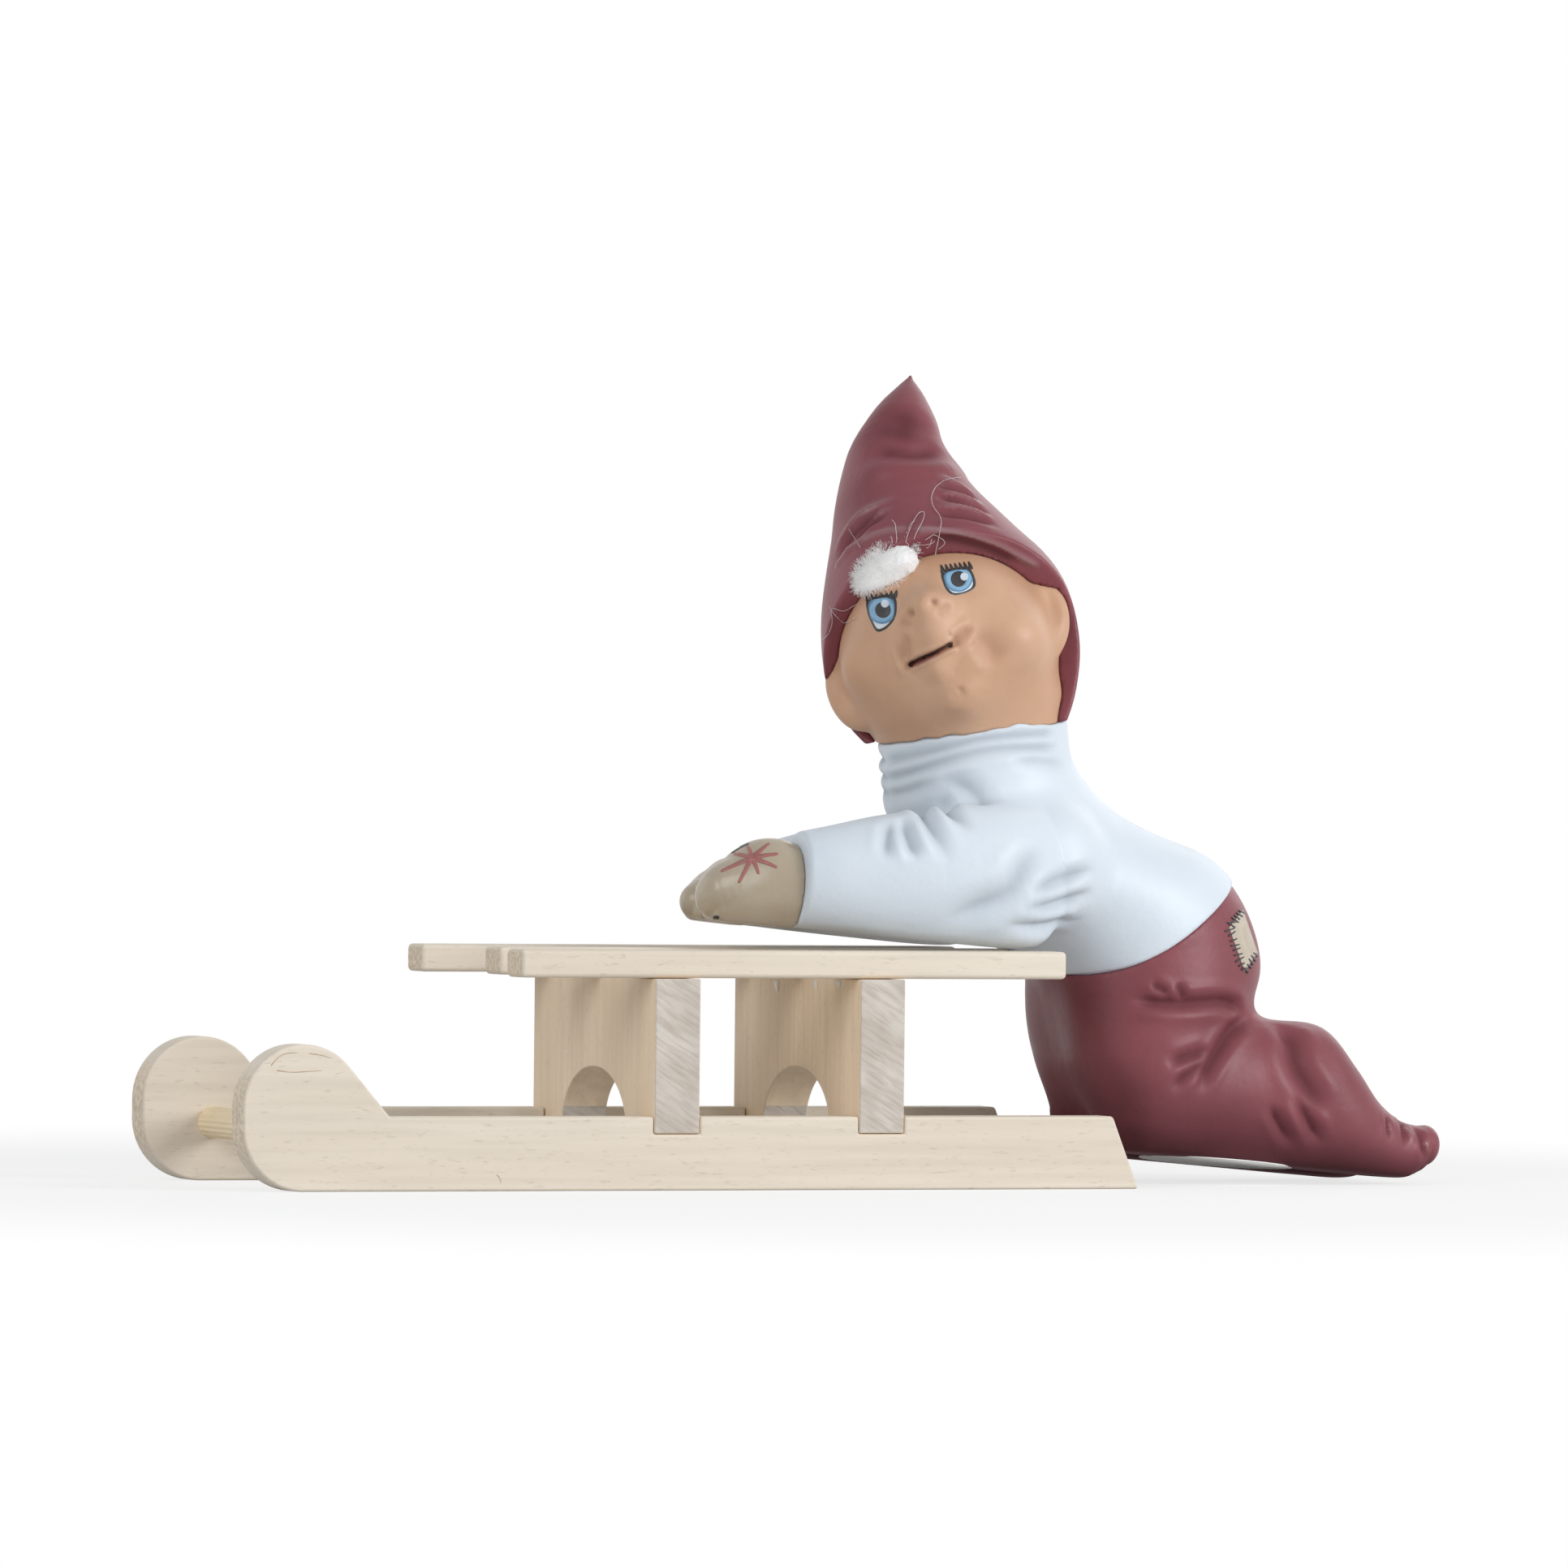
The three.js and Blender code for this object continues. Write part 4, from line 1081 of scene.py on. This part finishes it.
def eye(word, rim, iris, iris_radius, pupil, pupil_radius, glint, lashes):
    """One painted eye, in layers that lie a little higher each time."""
    outline = closed_curve(rim)
    middle = outline.mean(0)
    white = middle + (outline - middle) * 0.83 + [0, 0.8]
    inner = middle + (outline - middle) * 0.86 + [0, 0.9]
    layers = [
        ("line", middle, outline, 0.06, BLACK),
        ("white", middle, white, 0.1, EYE_WHITE),
        ("iris", iris, disc(iris, iris_radius, inner), 0.14, IRIS),
        ("ring", iris, disc(iris, 0.86 * iris_radius, inner), 0.17, IRIS_LIGHT),
        ("pupil", pupil, disc(pupil, pupil_radius, inner), 0.2, BLACK),
        ("glint", glint, disc(glint, 0.5 * pupil_radius), 0.24, GLINT),
    ]
    for layer, centre, edge, lift, material in layers:
        on_face(f"eye_{word}_{layer}", spread(centre, edge), lift, material)
    for k, (root, tip) in enumerate(lash_row(*lashes)):
        bend = np.mean([root, tip], 0) + [0.6, 0]
        on_face(f"eye_{word}_lash_{k}", stroke([root, bend, tip], LASH_START, LASH_END), 0.12, BLACK, False)


RIGHT_EYE_RIM = [
    (1068, 739), (1079, 735), (1092, 733), (1103, 736), (1105, 748), (1103, 761), (1096, 771), (1088, 777),
    (1080, 778), (1074, 768), (1069, 755)]
LEFT_EYE_RIM = [
    (1160, 706), (1171, 701), (1186, 699), (1196, 702), (1202, 716), (1200, 725), (1189, 731), (1175, 733),
    (1167, 728), (1162, 718)]
# Each eye: rim, iris and radius, pupil and radius, glint, then the first and last lash and their leans
EYES = {
    "right": (RIGHT_EYE_RIM, (1087, 751), 18, (1088.5, 752), 9.8, (1091, 744),
              [(1070, 740), (1102, 736), (-4, -8), (3, -9)]),
    "left": (LEFT_EYE_RIM, (1180.5, 711.5), 18.6, (1181, 714), 9.8, (1188, 711),
             [(1162, 706), (1196, 702), (-3, -10), (-3, -10)]),
}
for word, marks in EYES.items():
    eye(word, *marks)

LIP = brushed("lip", (0.3, 0.12, 0.09), (0.36, 0.15, 0.11), 0.45)
MOUTH_LINE = [(1121, 818), (1134, 811), (1148, 805), (1160, 799), (1174, 792)]
MOUTH_ENDS = [(1122, 819), (1171, 795)]
LIP_LINE = [(1127, 819.5), (1140, 813.5), (1150, 808.5), (1160, 803.5)]
on_face("mouth_line", stroke(MOUTH_LINE, 3.0, 3.0), 0.05, DARK, False)
on_face("lip", stroke(LIP_LINE, 4.6, 3.6), 0.08, LIP, False)
for k, end in enumerate(MOUTH_ENDS):
    on_face(f"mouth_end_{k}", spread(end, disc(end, 3.0)), 0.1, DARK)

STAR_CENTRE = (926, 1057)
STAR_TIPS = [
    (948, 1039), (959, 1052), (958, 1069), (935, 1077), (910, 1088), (888, 1074), (904, 1052), (921, 1042)]
MITTEN_LINE = [(900, 1051), (912, 1044), (923, 1039)]
MITTEN_VENT = [(879, 1131), (882, 1130), (886, 1131)]


def on_mitten(name, points, start, end, lift, material):
    on_figure(film(name, stroke(points, start, end), MITTENS, lift, material))


for k, tip in enumerate(STAR_TIPS):
    half_way = np.mean([STAR_CENTRE, tip], 0) + [0.6, -0.6]
    on_mitten(f"star_{k}", [STAR_CENTRE, half_way, tip], 6.2, 3.4, 0.07 + 0.004 * k, STAR_RED)
on_mitten("mitten_line", MITTEN_LINE, 3, 2, 0.07, BLACK)
on_mitten("mitten_vent", MITTEN_VENT, 4, 4, 0.07, BLACK)

PATCH_CORNERS = np.array([(1531, 1121), (1514, 1143), (1533, 1197), (1549, 1174)], float)


def patch_grid(count=14):
    """Rows of pixels between the patch's corners."""
    top, left, bottom, right = PATCH_CORNERS
    u = np.linspace(0, 1, count)[:, None, None]
    v = np.linspace(0, 1, count)[None, :, None]
    return (left * (1 - u) + bottom * u) * (1 - v) + (top * (1 - u) + right * u) * v


def on_trousers(name, grid, lift, material):
    on_figure(film(name, grid, [TROUSERS], lift, material))


on_trousers("patch", patch_grid(), 0.2, PATCH)


def stitches(name, start, end, count, rng):
    """Short strokes across one edge of the patch."""
    start, end = np.array(start), np.array(end)
    across = np.array([end[1] - start[1], start[0] - end[0]]) / np.linalg.norm(end - start)
    for k, f in enumerate((np.arange(count) + 0.5) / count):
        at = start + (end - start) * f + rng.normal(0, 0.5, 2)
        reach = across * rng.uniform(3.6, 5.6) + rng.normal(0, 0.8, 2)
        on_trousers(f"{name}_{k}", stroke([at - reach, at, at + reach], 2.2, 1.5), 0.28, BLACK)


needle = np.random.default_rng(3)
stitches("stitch_top", PATCH_CORNERS[1], PATCH_CORNERS[0], 6, needle)
stitches("stitch_side", PATCH_CORNERS[1], PATCH_CORNERS[2], 9, needle)
stitches("stitch_foot", PATCH_CORNERS[2], PATCH_CORNERS[3], 5, needle)

BARE = brushed("bare_clay", (0.86, 0.86, 0.84), (0.95, 0.945, 0.925), 0.7)
BARE_MIDDLE, BARE_HALF = (-46, -8), (20, 20)


def bare_base():
    """The unpainted patch of clay under the legs."""
    angles = np.linspace(0, 2 * math.pi, AROUND, endpoint=False)
    points = np.zeros((AROUND, 3))
    points[:, 0] = BARE_MIDDLE[0] + BARE_HALF[0] * np.cos(angles)
    points[:, 1] = BARE_MIDDLE[1] + BARE_HALF[1] * np.sin(angles)
    points[:, 2] = -under_base(points) - 0.06
    made = mesh_object("bare_base", points, [list(range(AROUND))[::-1]], FIGURE)
    on_figure(laid(made, BARE))


bare_base()


# Wool

WOOL_PIXEL, WOOL_ASIDE = (1097, 707), (1117, 698)
WOOL_LIFT = 1.2
WOOL_HALF = np.array([8.8, 3.8, 6])
WOOL_CORE, WOOL_LUMP = 0.82, 0.16
ROOT_DEPTH, BALL_CLEAR, WOOL_BLEND = 0.06, 0.75, 4.0
WOOL_BALL, WOOL_BALL_RADIUS = np.array([3.6, 0, 0.2]), 4.2


def wool_material(name, low, high, ball):
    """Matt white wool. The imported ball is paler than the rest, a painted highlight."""
    material, tree, shader = nodes_of(name)
    tone = mixed(tree, noise(tree, 800), low, high)
    coat(tree, shader, mixed(tree, attribute(tree, "ball"), tone, ball), 0.9)
    shader.inputs["Sheen Weight"].default_value = 0.4
    shader.inputs["Subsurface Weight"].default_value = 0.7
    shader.inputs["Subsurface Radius"].default_value = (1, 1, 1)
    shader.inputs["Subsurface Scale"].default_value = 0.002
    bumped(tree, shader, noise(tree, 2200, 3.0), 0.5, 0.0003)
    return material


def brow(p):
    return np.minimum(hat_field(p), head_field(p))


def tuft_frame():
    """The tuft's own frame: across the brow, out from it and up."""
    foot, aside = seen(brow, HEAD, [WOOL_PIXEL, WOOL_ASIDE])
    out = foot / np.linalg.norm(foot)
    across = aside - foot
    across -= out * (across @ out)
    across /= np.linalg.norm(across)
    return HEAD.child(np.stack([across, out, np.cross(across, out)], 1), foot + out * WOOL_LIFT)


TUFT = tuft_frame()


def puff_field(p):
    """The dense middle of the tuft, a little lumpy."""
    ball = np.linalg.norm(p - WOOL_BALL, axis=1) - WOOL_BALL_RADIUS
    x, y, z = p.T
    lumps = np.sin(1.3 * x + 0.8 * y) * np.sin(1.7 * z + 0.6 * x)
    lumps = lumps + np.sin(2.9 * x - 1.3 * z) * np.sin(3.1 * z + 1.1 * x)
    lumps = lumps + 0.6 * np.sin(5.3 * x) * np.sin(4.7 * z)
    return join(ellipsoid(p, WOOL_CORE * WOOL_HALF), ball, WOOL_BLEND) + WOOL_LUMP * lumps


def fibres(rng, count, shortest, longest, curl, steps, combed=0.0, middle=(0, 0, 0), half=WOOL_HALF):
    """Fibres that start on an egg of wool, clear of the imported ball, and are combed away from it."""
    start = rng.normal(0, 1, (count, 3))
    start /= np.linalg.norm(start, axis=1, keepdims=True)
    start[:, 1] = np.abs(start[:, 1])
    point = np.array(middle) + (WOOL_CORE - ROOT_DEPTH) * start * half
    away = point - WOOL_BALL
    far = np.linalg.norm(away, axis=1, keepdims=True)
    way = start + combed * away / far + rng.normal(0, 0.55, (count, 3))
    clear = far[:, 0] > BALL_CLEAR * WOOL_BALL_RADIUS
    point, way = point[clear], way[clear]
    bend = rng.normal(0, 1, point.shape)
    step = rng.uniform(shortest, longest, (len(point), 1)) / steps
    line = [point]
    for _ in range(steps):
        way /= np.linalg.norm(way, axis=1, keepdims=True)
        point = point + step * way
        line.append(point)
        way = way + curl * np.cross(bend, way) + rng.normal(0, 0.12, point.shape)
    return np.stack(line, 1)


def wool(name, lines, radius, place):
    """Fibres as thin tubes."""
    curve = bpy.data.curves.new(name, "CURVE")
    curve.dimensions = "3D"
    curve.bevel_depth = radius * MM
    curve.bevel_resolution = 0
    curve.use_fill_caps = True
    for line in lines:
        spline = curve.splines.new("POLY")
        spline.points.add(len(line) - 1)
        flat = np.hstack([place.out(line) * MM, np.ones((len(line), 1))])
        spline.points.foreach_set("co", flat.ravel())
    curve.materials.append(FIBRE)
    made = linked(name, curve)
    on_figure(made)
    return made


WOOL = wool_material("wool_white", (0.78, 0.785, 0.795), (0.94, 0.94, 0.94), (0.97, 0.97, 0.965))
FIBRE = wool_material("wool_fibre", (0.93, 0.93, 0.925), (0.98, 0.98, 0.975), (0.98, 0.98, 0.975))
puff = sculpt("wool_puff", puff_field, TUFT, -WOOL_HALF - 2, WOOL_HALF + 2, 0.4)
packed = TUFT.into(np.array([v.co for v in puff.data.vertices]) / MM) - WOOL_BALL
# Painted highlight: the wool over the ball is marked to take the paler colour
mark(puff, "ball", np.clip(2 - np.linalg.norm(packed, axis=1) / WOOL_BALL_RADIUS, 0, 1))
dress(puff, WOOL, "wool", "wool_tuft")
comb = np.random.default_rng(11)
SHORT, LONG = (5200, 240) if FINE else (700, 60)
LOCK, LOCK_HALF = (8, 0.5, -4.2), (3.4, 1.2, 1.6)
fuzz = wool("wool_fuzz", fibres(comb, SHORT, 2.6, 5.2, 0.24, 5, 1.1), 0.05, TUFT)
fuzz.visible_shadow = False
wool("wool_curls", fibres(comb, LONG, 3.5, 6.5, 0.45, 12), 0.055, TUFT)
wool("wool_lock", fibres(comb, LONG // 2, 5, 9, 0.6, 14, 0, LOCK, LOCK_HALF), 0.06, TUFT)
STRAYS = [
    [(1152, 682), (1156, 662), (1160, 642), (1150, 626), (1148, 612), (1154, 600), (1164, 592), (1182, 590)],
    [(1062, 676), (1052, 660), (1047, 652)],
    [(1056, 742), (1040, 752), (1027, 750), (1026, 764), (1022, 778), (1016, 788)],
    [(1024, 748), (1030, 758), (1042, 768), (1056, 762)],
    [(1116, 668), (1124, 648), (1132, 634), (1139, 633), (1137, 644), (1126, 664)],
    [(1106, 666), (1104, 648), (1100, 642)],
    [(1140, 664), (1152, 658), (1164, 668), (1156, 676)],
]
STRAY_LIFT = 0.5


def stray(pixels):
    """A loose hair that lies over the hat and the brow."""
    points, ways = landed([HAT, HEAD_SKIN], through(pixels, 8))
    line = points + STRAY_LIFT * ways
    for _ in range(3):
        line[1:-1] = (line[:-2] + 2 * line[1:-1] + line[2:]) / 4
    return line


wool("wool_strays", [stray(pixels) for pixels in STRAYS], 0.08, PART)


# The sled's boards, from their boxes in the frame

def facing(tree, axis):
    """How squarely a face looks along an axis of the sled, from 0 to 1."""
    normal = add(tree, "ShaderNodeNewGeometry").outputs["Normal"]
    split = add(tree, "ShaderNodeSeparateXYZ", normal)
    size = add(tree, "ShaderNodeMath", split.outputs[axis], operation="ABSOLUTE")
    return ramped(tree, size.outputs[0], 0.7, 0.99, interpolation_type="SMOOTHSTEP")


def wood(name, light, dark, along, pores=0.35, end=None, roughness=0.62):
    """Bare sanded wood: soft streaks, short pores along the grain and, along X, a darker end grain."""
    material, tree, shader = nodes_of(name)
    broad = noise(tree, 70, 3.0, along, 0.32, 0.68)
    tone = mixed(tree, broad, light, dark)
    streaks = noise(tree, 420, 4.0, along, 0.42, 0.7)
    tone = mixed(tree, weighted(tree, streaks, 0.4), tone, tuple(0.84 * c for c in dark))
    specks = noise(tree, 1500, 2.0, tuple(4 * a if a < 1 else a for a in along), 0.62, 0.74)
    tone = mixed(tree, weighted(tree, specks, pores), tone, tuple(0.55 * c for c in dark))
    if end is not None:
        cut_across = mixed(tree, noise(tree, 900, 3.0), end, tuple(0.7 * c for c in end))
        tone = mixed(tree, facing(tree, "X"), tone, cut_across)
    coat(tree, shader, tone, roughness)
    bumped(tree, shader, specks, 0.35, 0.00008)
    return material


SAW_SLANT, SAW_STRETCH = 32, 7


def sawn(name, light, dark):
    """The bolsters' rough ends, with slanting saw marks."""
    material, tree, shader = nodes_of(name)
    tilt = add(tree, "ShaderNodeMapping", own_place(tree), vector_type="TEXTURE",
               rotation=(0, math.radians(SAW_SLANT), 0), scale=(SAW_STRETCH, 1, 1))
    marks = add(tree, "ShaderNodeTexNoise", tilt.outputs[0], scale=900, detail=3)
    lines = ramped(tree, marks.outputs[0], 0.42, 0.68)
    tone = mixed(tree, noise(tree, 90, 3.0), light, tuple(0.5 * (a + b) for a, b in zip(light, dark)))
    tone = mixed(tree, weighted(tree, lines, 0.6), tone, dark)
    coat(tree, shader, tone, 0.75)
    bumped(tree, shader, lines, 0.5, 0.0002)
    return material


GRAIN_X = (0.05, 1, 1)
GRAIN_Y = (1, 0.05, 1)
GRAIN_Z = (1, 1, 0.08)
PALE = wood("pale_wood", (0.82, 0.74, 0.63), (0.765, 0.675, 0.555), GRAIN_X, 0.3, (0.8, 0.675, 0.52))
BOLSTER = wood("bolster_wood", (0.9, 0.74, 0.55), (0.81, 0.64, 0.46), GRAIN_Z, 0.35)
SAWN = sawn("sawn_end", (0.68, 0.63, 0.57), (0.46, 0.39, 0.33))
DOWEL = wood("dowel_wood", (0.92, 0.78, 0.55), (0.85, 0.68, 0.45), GRAIN_Y)
EDGE = {"runner": 0.8, "slat": 1.2, "bolster": 0.4, "nose": 0.3}
GLUE = 0.15
FLUTES, FLUTE_DEPTH = 18, 0.25
EDGE_SEGMENTS, SHARP_ANGLE, SAWN_FACE = 3, 40, 0.9


def board(name, outline, plane, start, thickness, *materials):
    """A closed board: an outline in the given plane, given thickness along the axis across it."""
    count = len(outline)
    axis = 3 - sum(plane)
    points = np.zeros((2 * count, 3))
    for k, level in enumerate((start, start + thickness)):
        points[k * count:(k + 1) * count, plane] = outline
        points[k * count:(k + 1) * count, axis] = level
    loop = list(range(count))
    faces = [loop[::-1], [count + i for i in loop]]
    faces += [[i, (i + 1) % count, count + (i + 1) % count, count + i] for i in loop]
    mesh = bpy.data.meshes.new(name)
    mesh.from_pydata((points * MM).tolist(), [], faces)
    made = linked(name, mesh)
    tidy = bmesh.new()
    tidy.from_mesh(mesh)
    bmesh.ops.recalc_face_normals(tidy, faces=tidy.faces)
    tidy.to_mesh(mesh)
    tidy.free()
    for material in materials:
        mesh.materials.append(material)
    if len(materials) > 1:
        for face in mesh.polygons:
            face.material_index = int(abs(face.normal.y) > SAWN_FACE)
    mesh.shade_smooth()
    edge = made.modifiers.new("edge", "BEVEL")
    edge.width = EDGE[name.split("_")[0]] * MM
    edge.segments = EDGE_SEGMENTS
    edge.limit_method = "ANGLE"
    edge.angle_limit = math.radians(SHARP_ANGLE)
    edge.harden_normals = True
    return made


def cad_box(node):
    """A node's box in millimetres."""
    low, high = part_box(node)
    return np.array(low) / MM, np.array(high) / MM


def arc(centre, radius, start, end, count=40):
    angles = np.radians(np.linspace(start, end, count))
    radii = np.broadcast_to(radius, 2)
    return np.array(centre) + radii * np.stack([np.cos(angles), np.sin(angles)], 1)


def runner_outline(low, high):
    """Side view: a round raised nose, a straight top and a slanted tail."""
    radius, slope_end, tail, top = 16, 39, 7.3, 18.7
    crown = np.array([low[0] + radius, high[2] - radius])
    away = np.array([low[0] + slope_end, top]) - crown
    leave = math.degrees(math.atan2(away[1], away[0]) + math.acos(radius / np.linalg.norm(away)))
    laps = []
    for word in ("rear", "front"):
        foot, head = cad_box(f"bolster_{word}")
        near, far, floor_z = foot[0] - GLUE, head[0] + GLUE, foot[2] - GLUE
        laps += [(far, top), (far, floor_z), (near, floor_z), (near, top)]
    return np.vstack([
        [(high[0], 0), (high[0] - tail, top), *laps, (low[0] + slope_end, top)],
        arc(crown, radius, leave, 180),
        arc((low[0] + radius, radius), radius, 180, 270)])


def bolster_outline(low, high):
    """Front view: a board with an arch cut in its lower edge."""
    arch = np.array([23, 15.8])
    return np.vstack([
        [(low[1], low[2])],
        arc((0, low[2]), arch, 180, 0, 60),
        [(high[1], low[2]), (high[1], high[2]), (low[1], high[2])]])


def on_sled(made, node):
    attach(made, "sled")
    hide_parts(node)


for word in ("left", "right"):
    low, high = cad_box(f"runner_{word}")
    on_sled(board(f"runner_{word}_board", runner_outline(low, high), [0, 2], low[1], high[1] - low[1], PALE),
            f"runner_{word}")
for word in ("left", "middle", "right"):
    low, high = cad_box(f"slat_{word}")
    plan = [(low[0], low[1]), (high[0], low[1]), (high[0], high[1]), (low[0], high[1])]
    on_sled(board(f"slat_{word}_board", np.array(plan), [0, 1], low[2], high[2] - low[2], PALE),
            f"slat_{word}")
for word in ("front", "rear"):
    low, high = cad_box(f"bolster_{word}")
    on_sled(board(f"bolster_{word}_board", bolster_outline(low, high), [1, 2], low[0], high[0] - low[0],
                  BOLSTER, SAWN), f"bolster_{word}")
GRAIN_MARK = brushed("grain_line", (0.52, 0.38, 0.26), (0.68, 0.55, 0.42), 0.65)
GLUE_BEAD = brushed("dried_glue", (0.76, 0.7, 0.6), (0.84, 0.79, 0.7), 0.4)
GRAIN_LINES = [
    [(334, 1313), (343, 1303), (353, 1298), (367, 1297)],
    [(381, 1298), (395, 1300), (409, 1304)],
    [(341, 1319), (361, 1321), (380, 1320), (397, 1319)],
    [(612, 1447), (616, 1452), (617, 1458)],
]
DRIP_TOP = 1208
GLUE_DRIPS = [(957, 1222), (1005, 1219), (1033, 1217)]
RUNNER = bpy.data.objects["runner_left_board"]
REAR_BOLSTER = bpy.data.objects["bolster_rear_board"]
SHAPES.update({made.name: shape_of(made) for made in (RUNNER, REAR_BOLSTER)})


def on_board(name, grid, made, lift, material):
    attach(film(name, grid, [made], lift, material), "sled")


for k, line in enumerate(GRAIN_LINES):
    on_board(f"grain_line_{k}", stroke(line, 1.7, 0.9), RUNNER, 0.03, GRAIN_MARK)
for k, (x, y) in enumerate(GLUE_DRIPS):
    drip = stroke([(x, DRIP_TOP), (x + 0.5, (DRIP_TOP + y) / 2), (x + 1.5, y)], 7, 2)
    on_board(f"glue_drip_{k}", drip, REAR_BOLSTER, 0.25, GLUE_BEAD)

low, high = cad_box("nose_dowel")
middle = (low + high) / 2
turns = np.linspace(0, 2 * math.pi, 8 * FLUTES, endpoint=False)
reach = (high[0] - low[0]) / 2 - FLUTE_DEPTH * (0.5 + 0.5 * np.cos(FLUTES * turns))
fluted = middle[[0, 2]] + reach[:, None] * np.stack([np.cos(turns), np.sin(turns)], 1)
on_sled(board("nose_dowel_rod", fluted, [0, 2], low[1], high[1] - low[1], DOWEL), "nose_dowel")


# Studio

WORLD_LIGHT = 0.35
FLOOR_GLOW = 0.74
FLOOR_BOUNCE = (0.62, 0.62, 0.62)
FLOOR_HALF, FLOOR_FADE = 4, (0.22, 0.5)
WORLD_TINT = (0.96, 0.98, 1)
SHOWN_RAYS = ("Is Camera Ray", "Is Glossy Ray", "Is Transmission Ray")
# Each lamp: where it stands, what it is aimed at, size and power
LAMPS = {
    "key": ((1.05, -1.2, 0.62), (0.05, 0, 0.08), 0.9, 18),
    "fill": ((-1.3, -0.75, 0.75), (0, 0, 0.08), 1.0, 8),
    "rim_right": ((1.0, 0.9, 0.8), (0.05, 0, 0.1), 1.0, 2.6),
    "rim_left": ((-0.9, 0.9, 0.5), (0.08, 0, 0.08), 0.8, 0.8),
}


def lamp(name, at, aim, size, power):
    """A round soft lamp."""
    light = bpy.data.lights.new(name, "AREA")
    light.shape = "DISK"
    light.size = size
    light.energy = power
    made = linked(name, light)
    made.location = at
    made.rotation_euler = (Vector(aim) - Vector(at)).to_track_quat("-Z", "Y").to_euler()


def shown(tree, path):
    """One for rays that show a thing, and 0 for those that only light by it."""
    total = path.outputs[SHOWN_RAYS[0]]
    for ray in SHOWN_RAYS[1:]:
        total = add(tree, "ShaderNodeMath", total, path.outputs[ray], operation="MAXIMUM").outputs[0]
    return total


def white_world():
    """Plain white round the object, brighter to the eye than as a light."""
    world = bpy.data.worlds.new("white")
    world.use_nodes = True
    bpy.context.scene.world = world
    tree = world.node_tree
    plain = tree.nodes["Background"]
    put(tree, plain.inputs["Strength"], 1)
    put(tree, plain.inputs["Color"], (1, 1, 1, 1))
    light = add(tree, "ShaderNodeBackground", (*WORLD_TINT, 1), WORLD_LIGHT)
    path = add(tree, "ShaderNodeLightPath")
    mix = add(tree, "ShaderNodeMixShader", shown(tree, path), light.outputs[0], plain.outputs[0])
    tree.links.new(mix.outputs[0], tree.nodes["World Output"].inputs["Surface"])


def floor():
    """A white floor that fades into the white round it."""
    material, tree, shader = nodes_of("floor_white")
    path = add(tree, "ShaderNodeLightPath")
    tone = mixed(tree, noise(tree, 3), (0.82, 0.82, 0.82), (0.84, 0.84, 0.84))
    tone = mixed(tree, path.outputs["Is Diffuse Ray"], tone, FLOOR_BOUNCE)
    coat(tree, shader, tone, 0.9)
    far = add(tree, "ShaderNodeVectorMath", own_place(tree), operation="LENGTH").outputs["Value"]
    fade = ramped(tree, far, *FLOOR_FADE, to_min=FLOOR_GLOW, interpolation_type="SMOOTHSTEP")
    seen_glow = add(tree, "ShaderNodeMath", fade, shown(tree, path), operation="MULTIPLY").outputs[0]
    glow = add(tree, "ShaderNodeEmission")
    mix = add(tree, "ShaderNodeMixShader", seen_glow, shader.outputs[0], glow.outputs[0])
    tree.links.new(mix.outputs[0], tree.nodes["Material Output"].inputs["Surface"])
    mesh = bpy.data.meshes.new("floor")
    corners = [(FLOOR_HALF * x, FLOOR_HALF * y, 0) for x, y in ((-1, -1), (1, -1), (1, 1), (-1, 1))]
    mesh.from_pydata(corners, [], [(0, 1, 2, 3)])
    mesh.materials.append(material)
    made = linked("floor", mesh)


def photograph():
    """The photograph's camera."""
    camera = bpy.data.cameras.new("camera")
    camera.sensor_width = 36
    camera.lens = camera.sensor_width * PHOTO_FOCAL / PHOTO_SIZE
    camera.clip_end = 20
    view = linked("camera", camera)
    pose = np.eye(4)
    pose[:3] = np.stack([RIGHT, UP, -AHEAD, EYE * MM], 1)
    view.matrix_world = Matrix(pose.tolist())
    bpy.context.scene.camera = view
    bpy.context.scene.view_settings.view_transform = "Standard"


photograph()
white_world()
floor()
for name, setting in LAMPS.items():
    lamp(name, *setting)
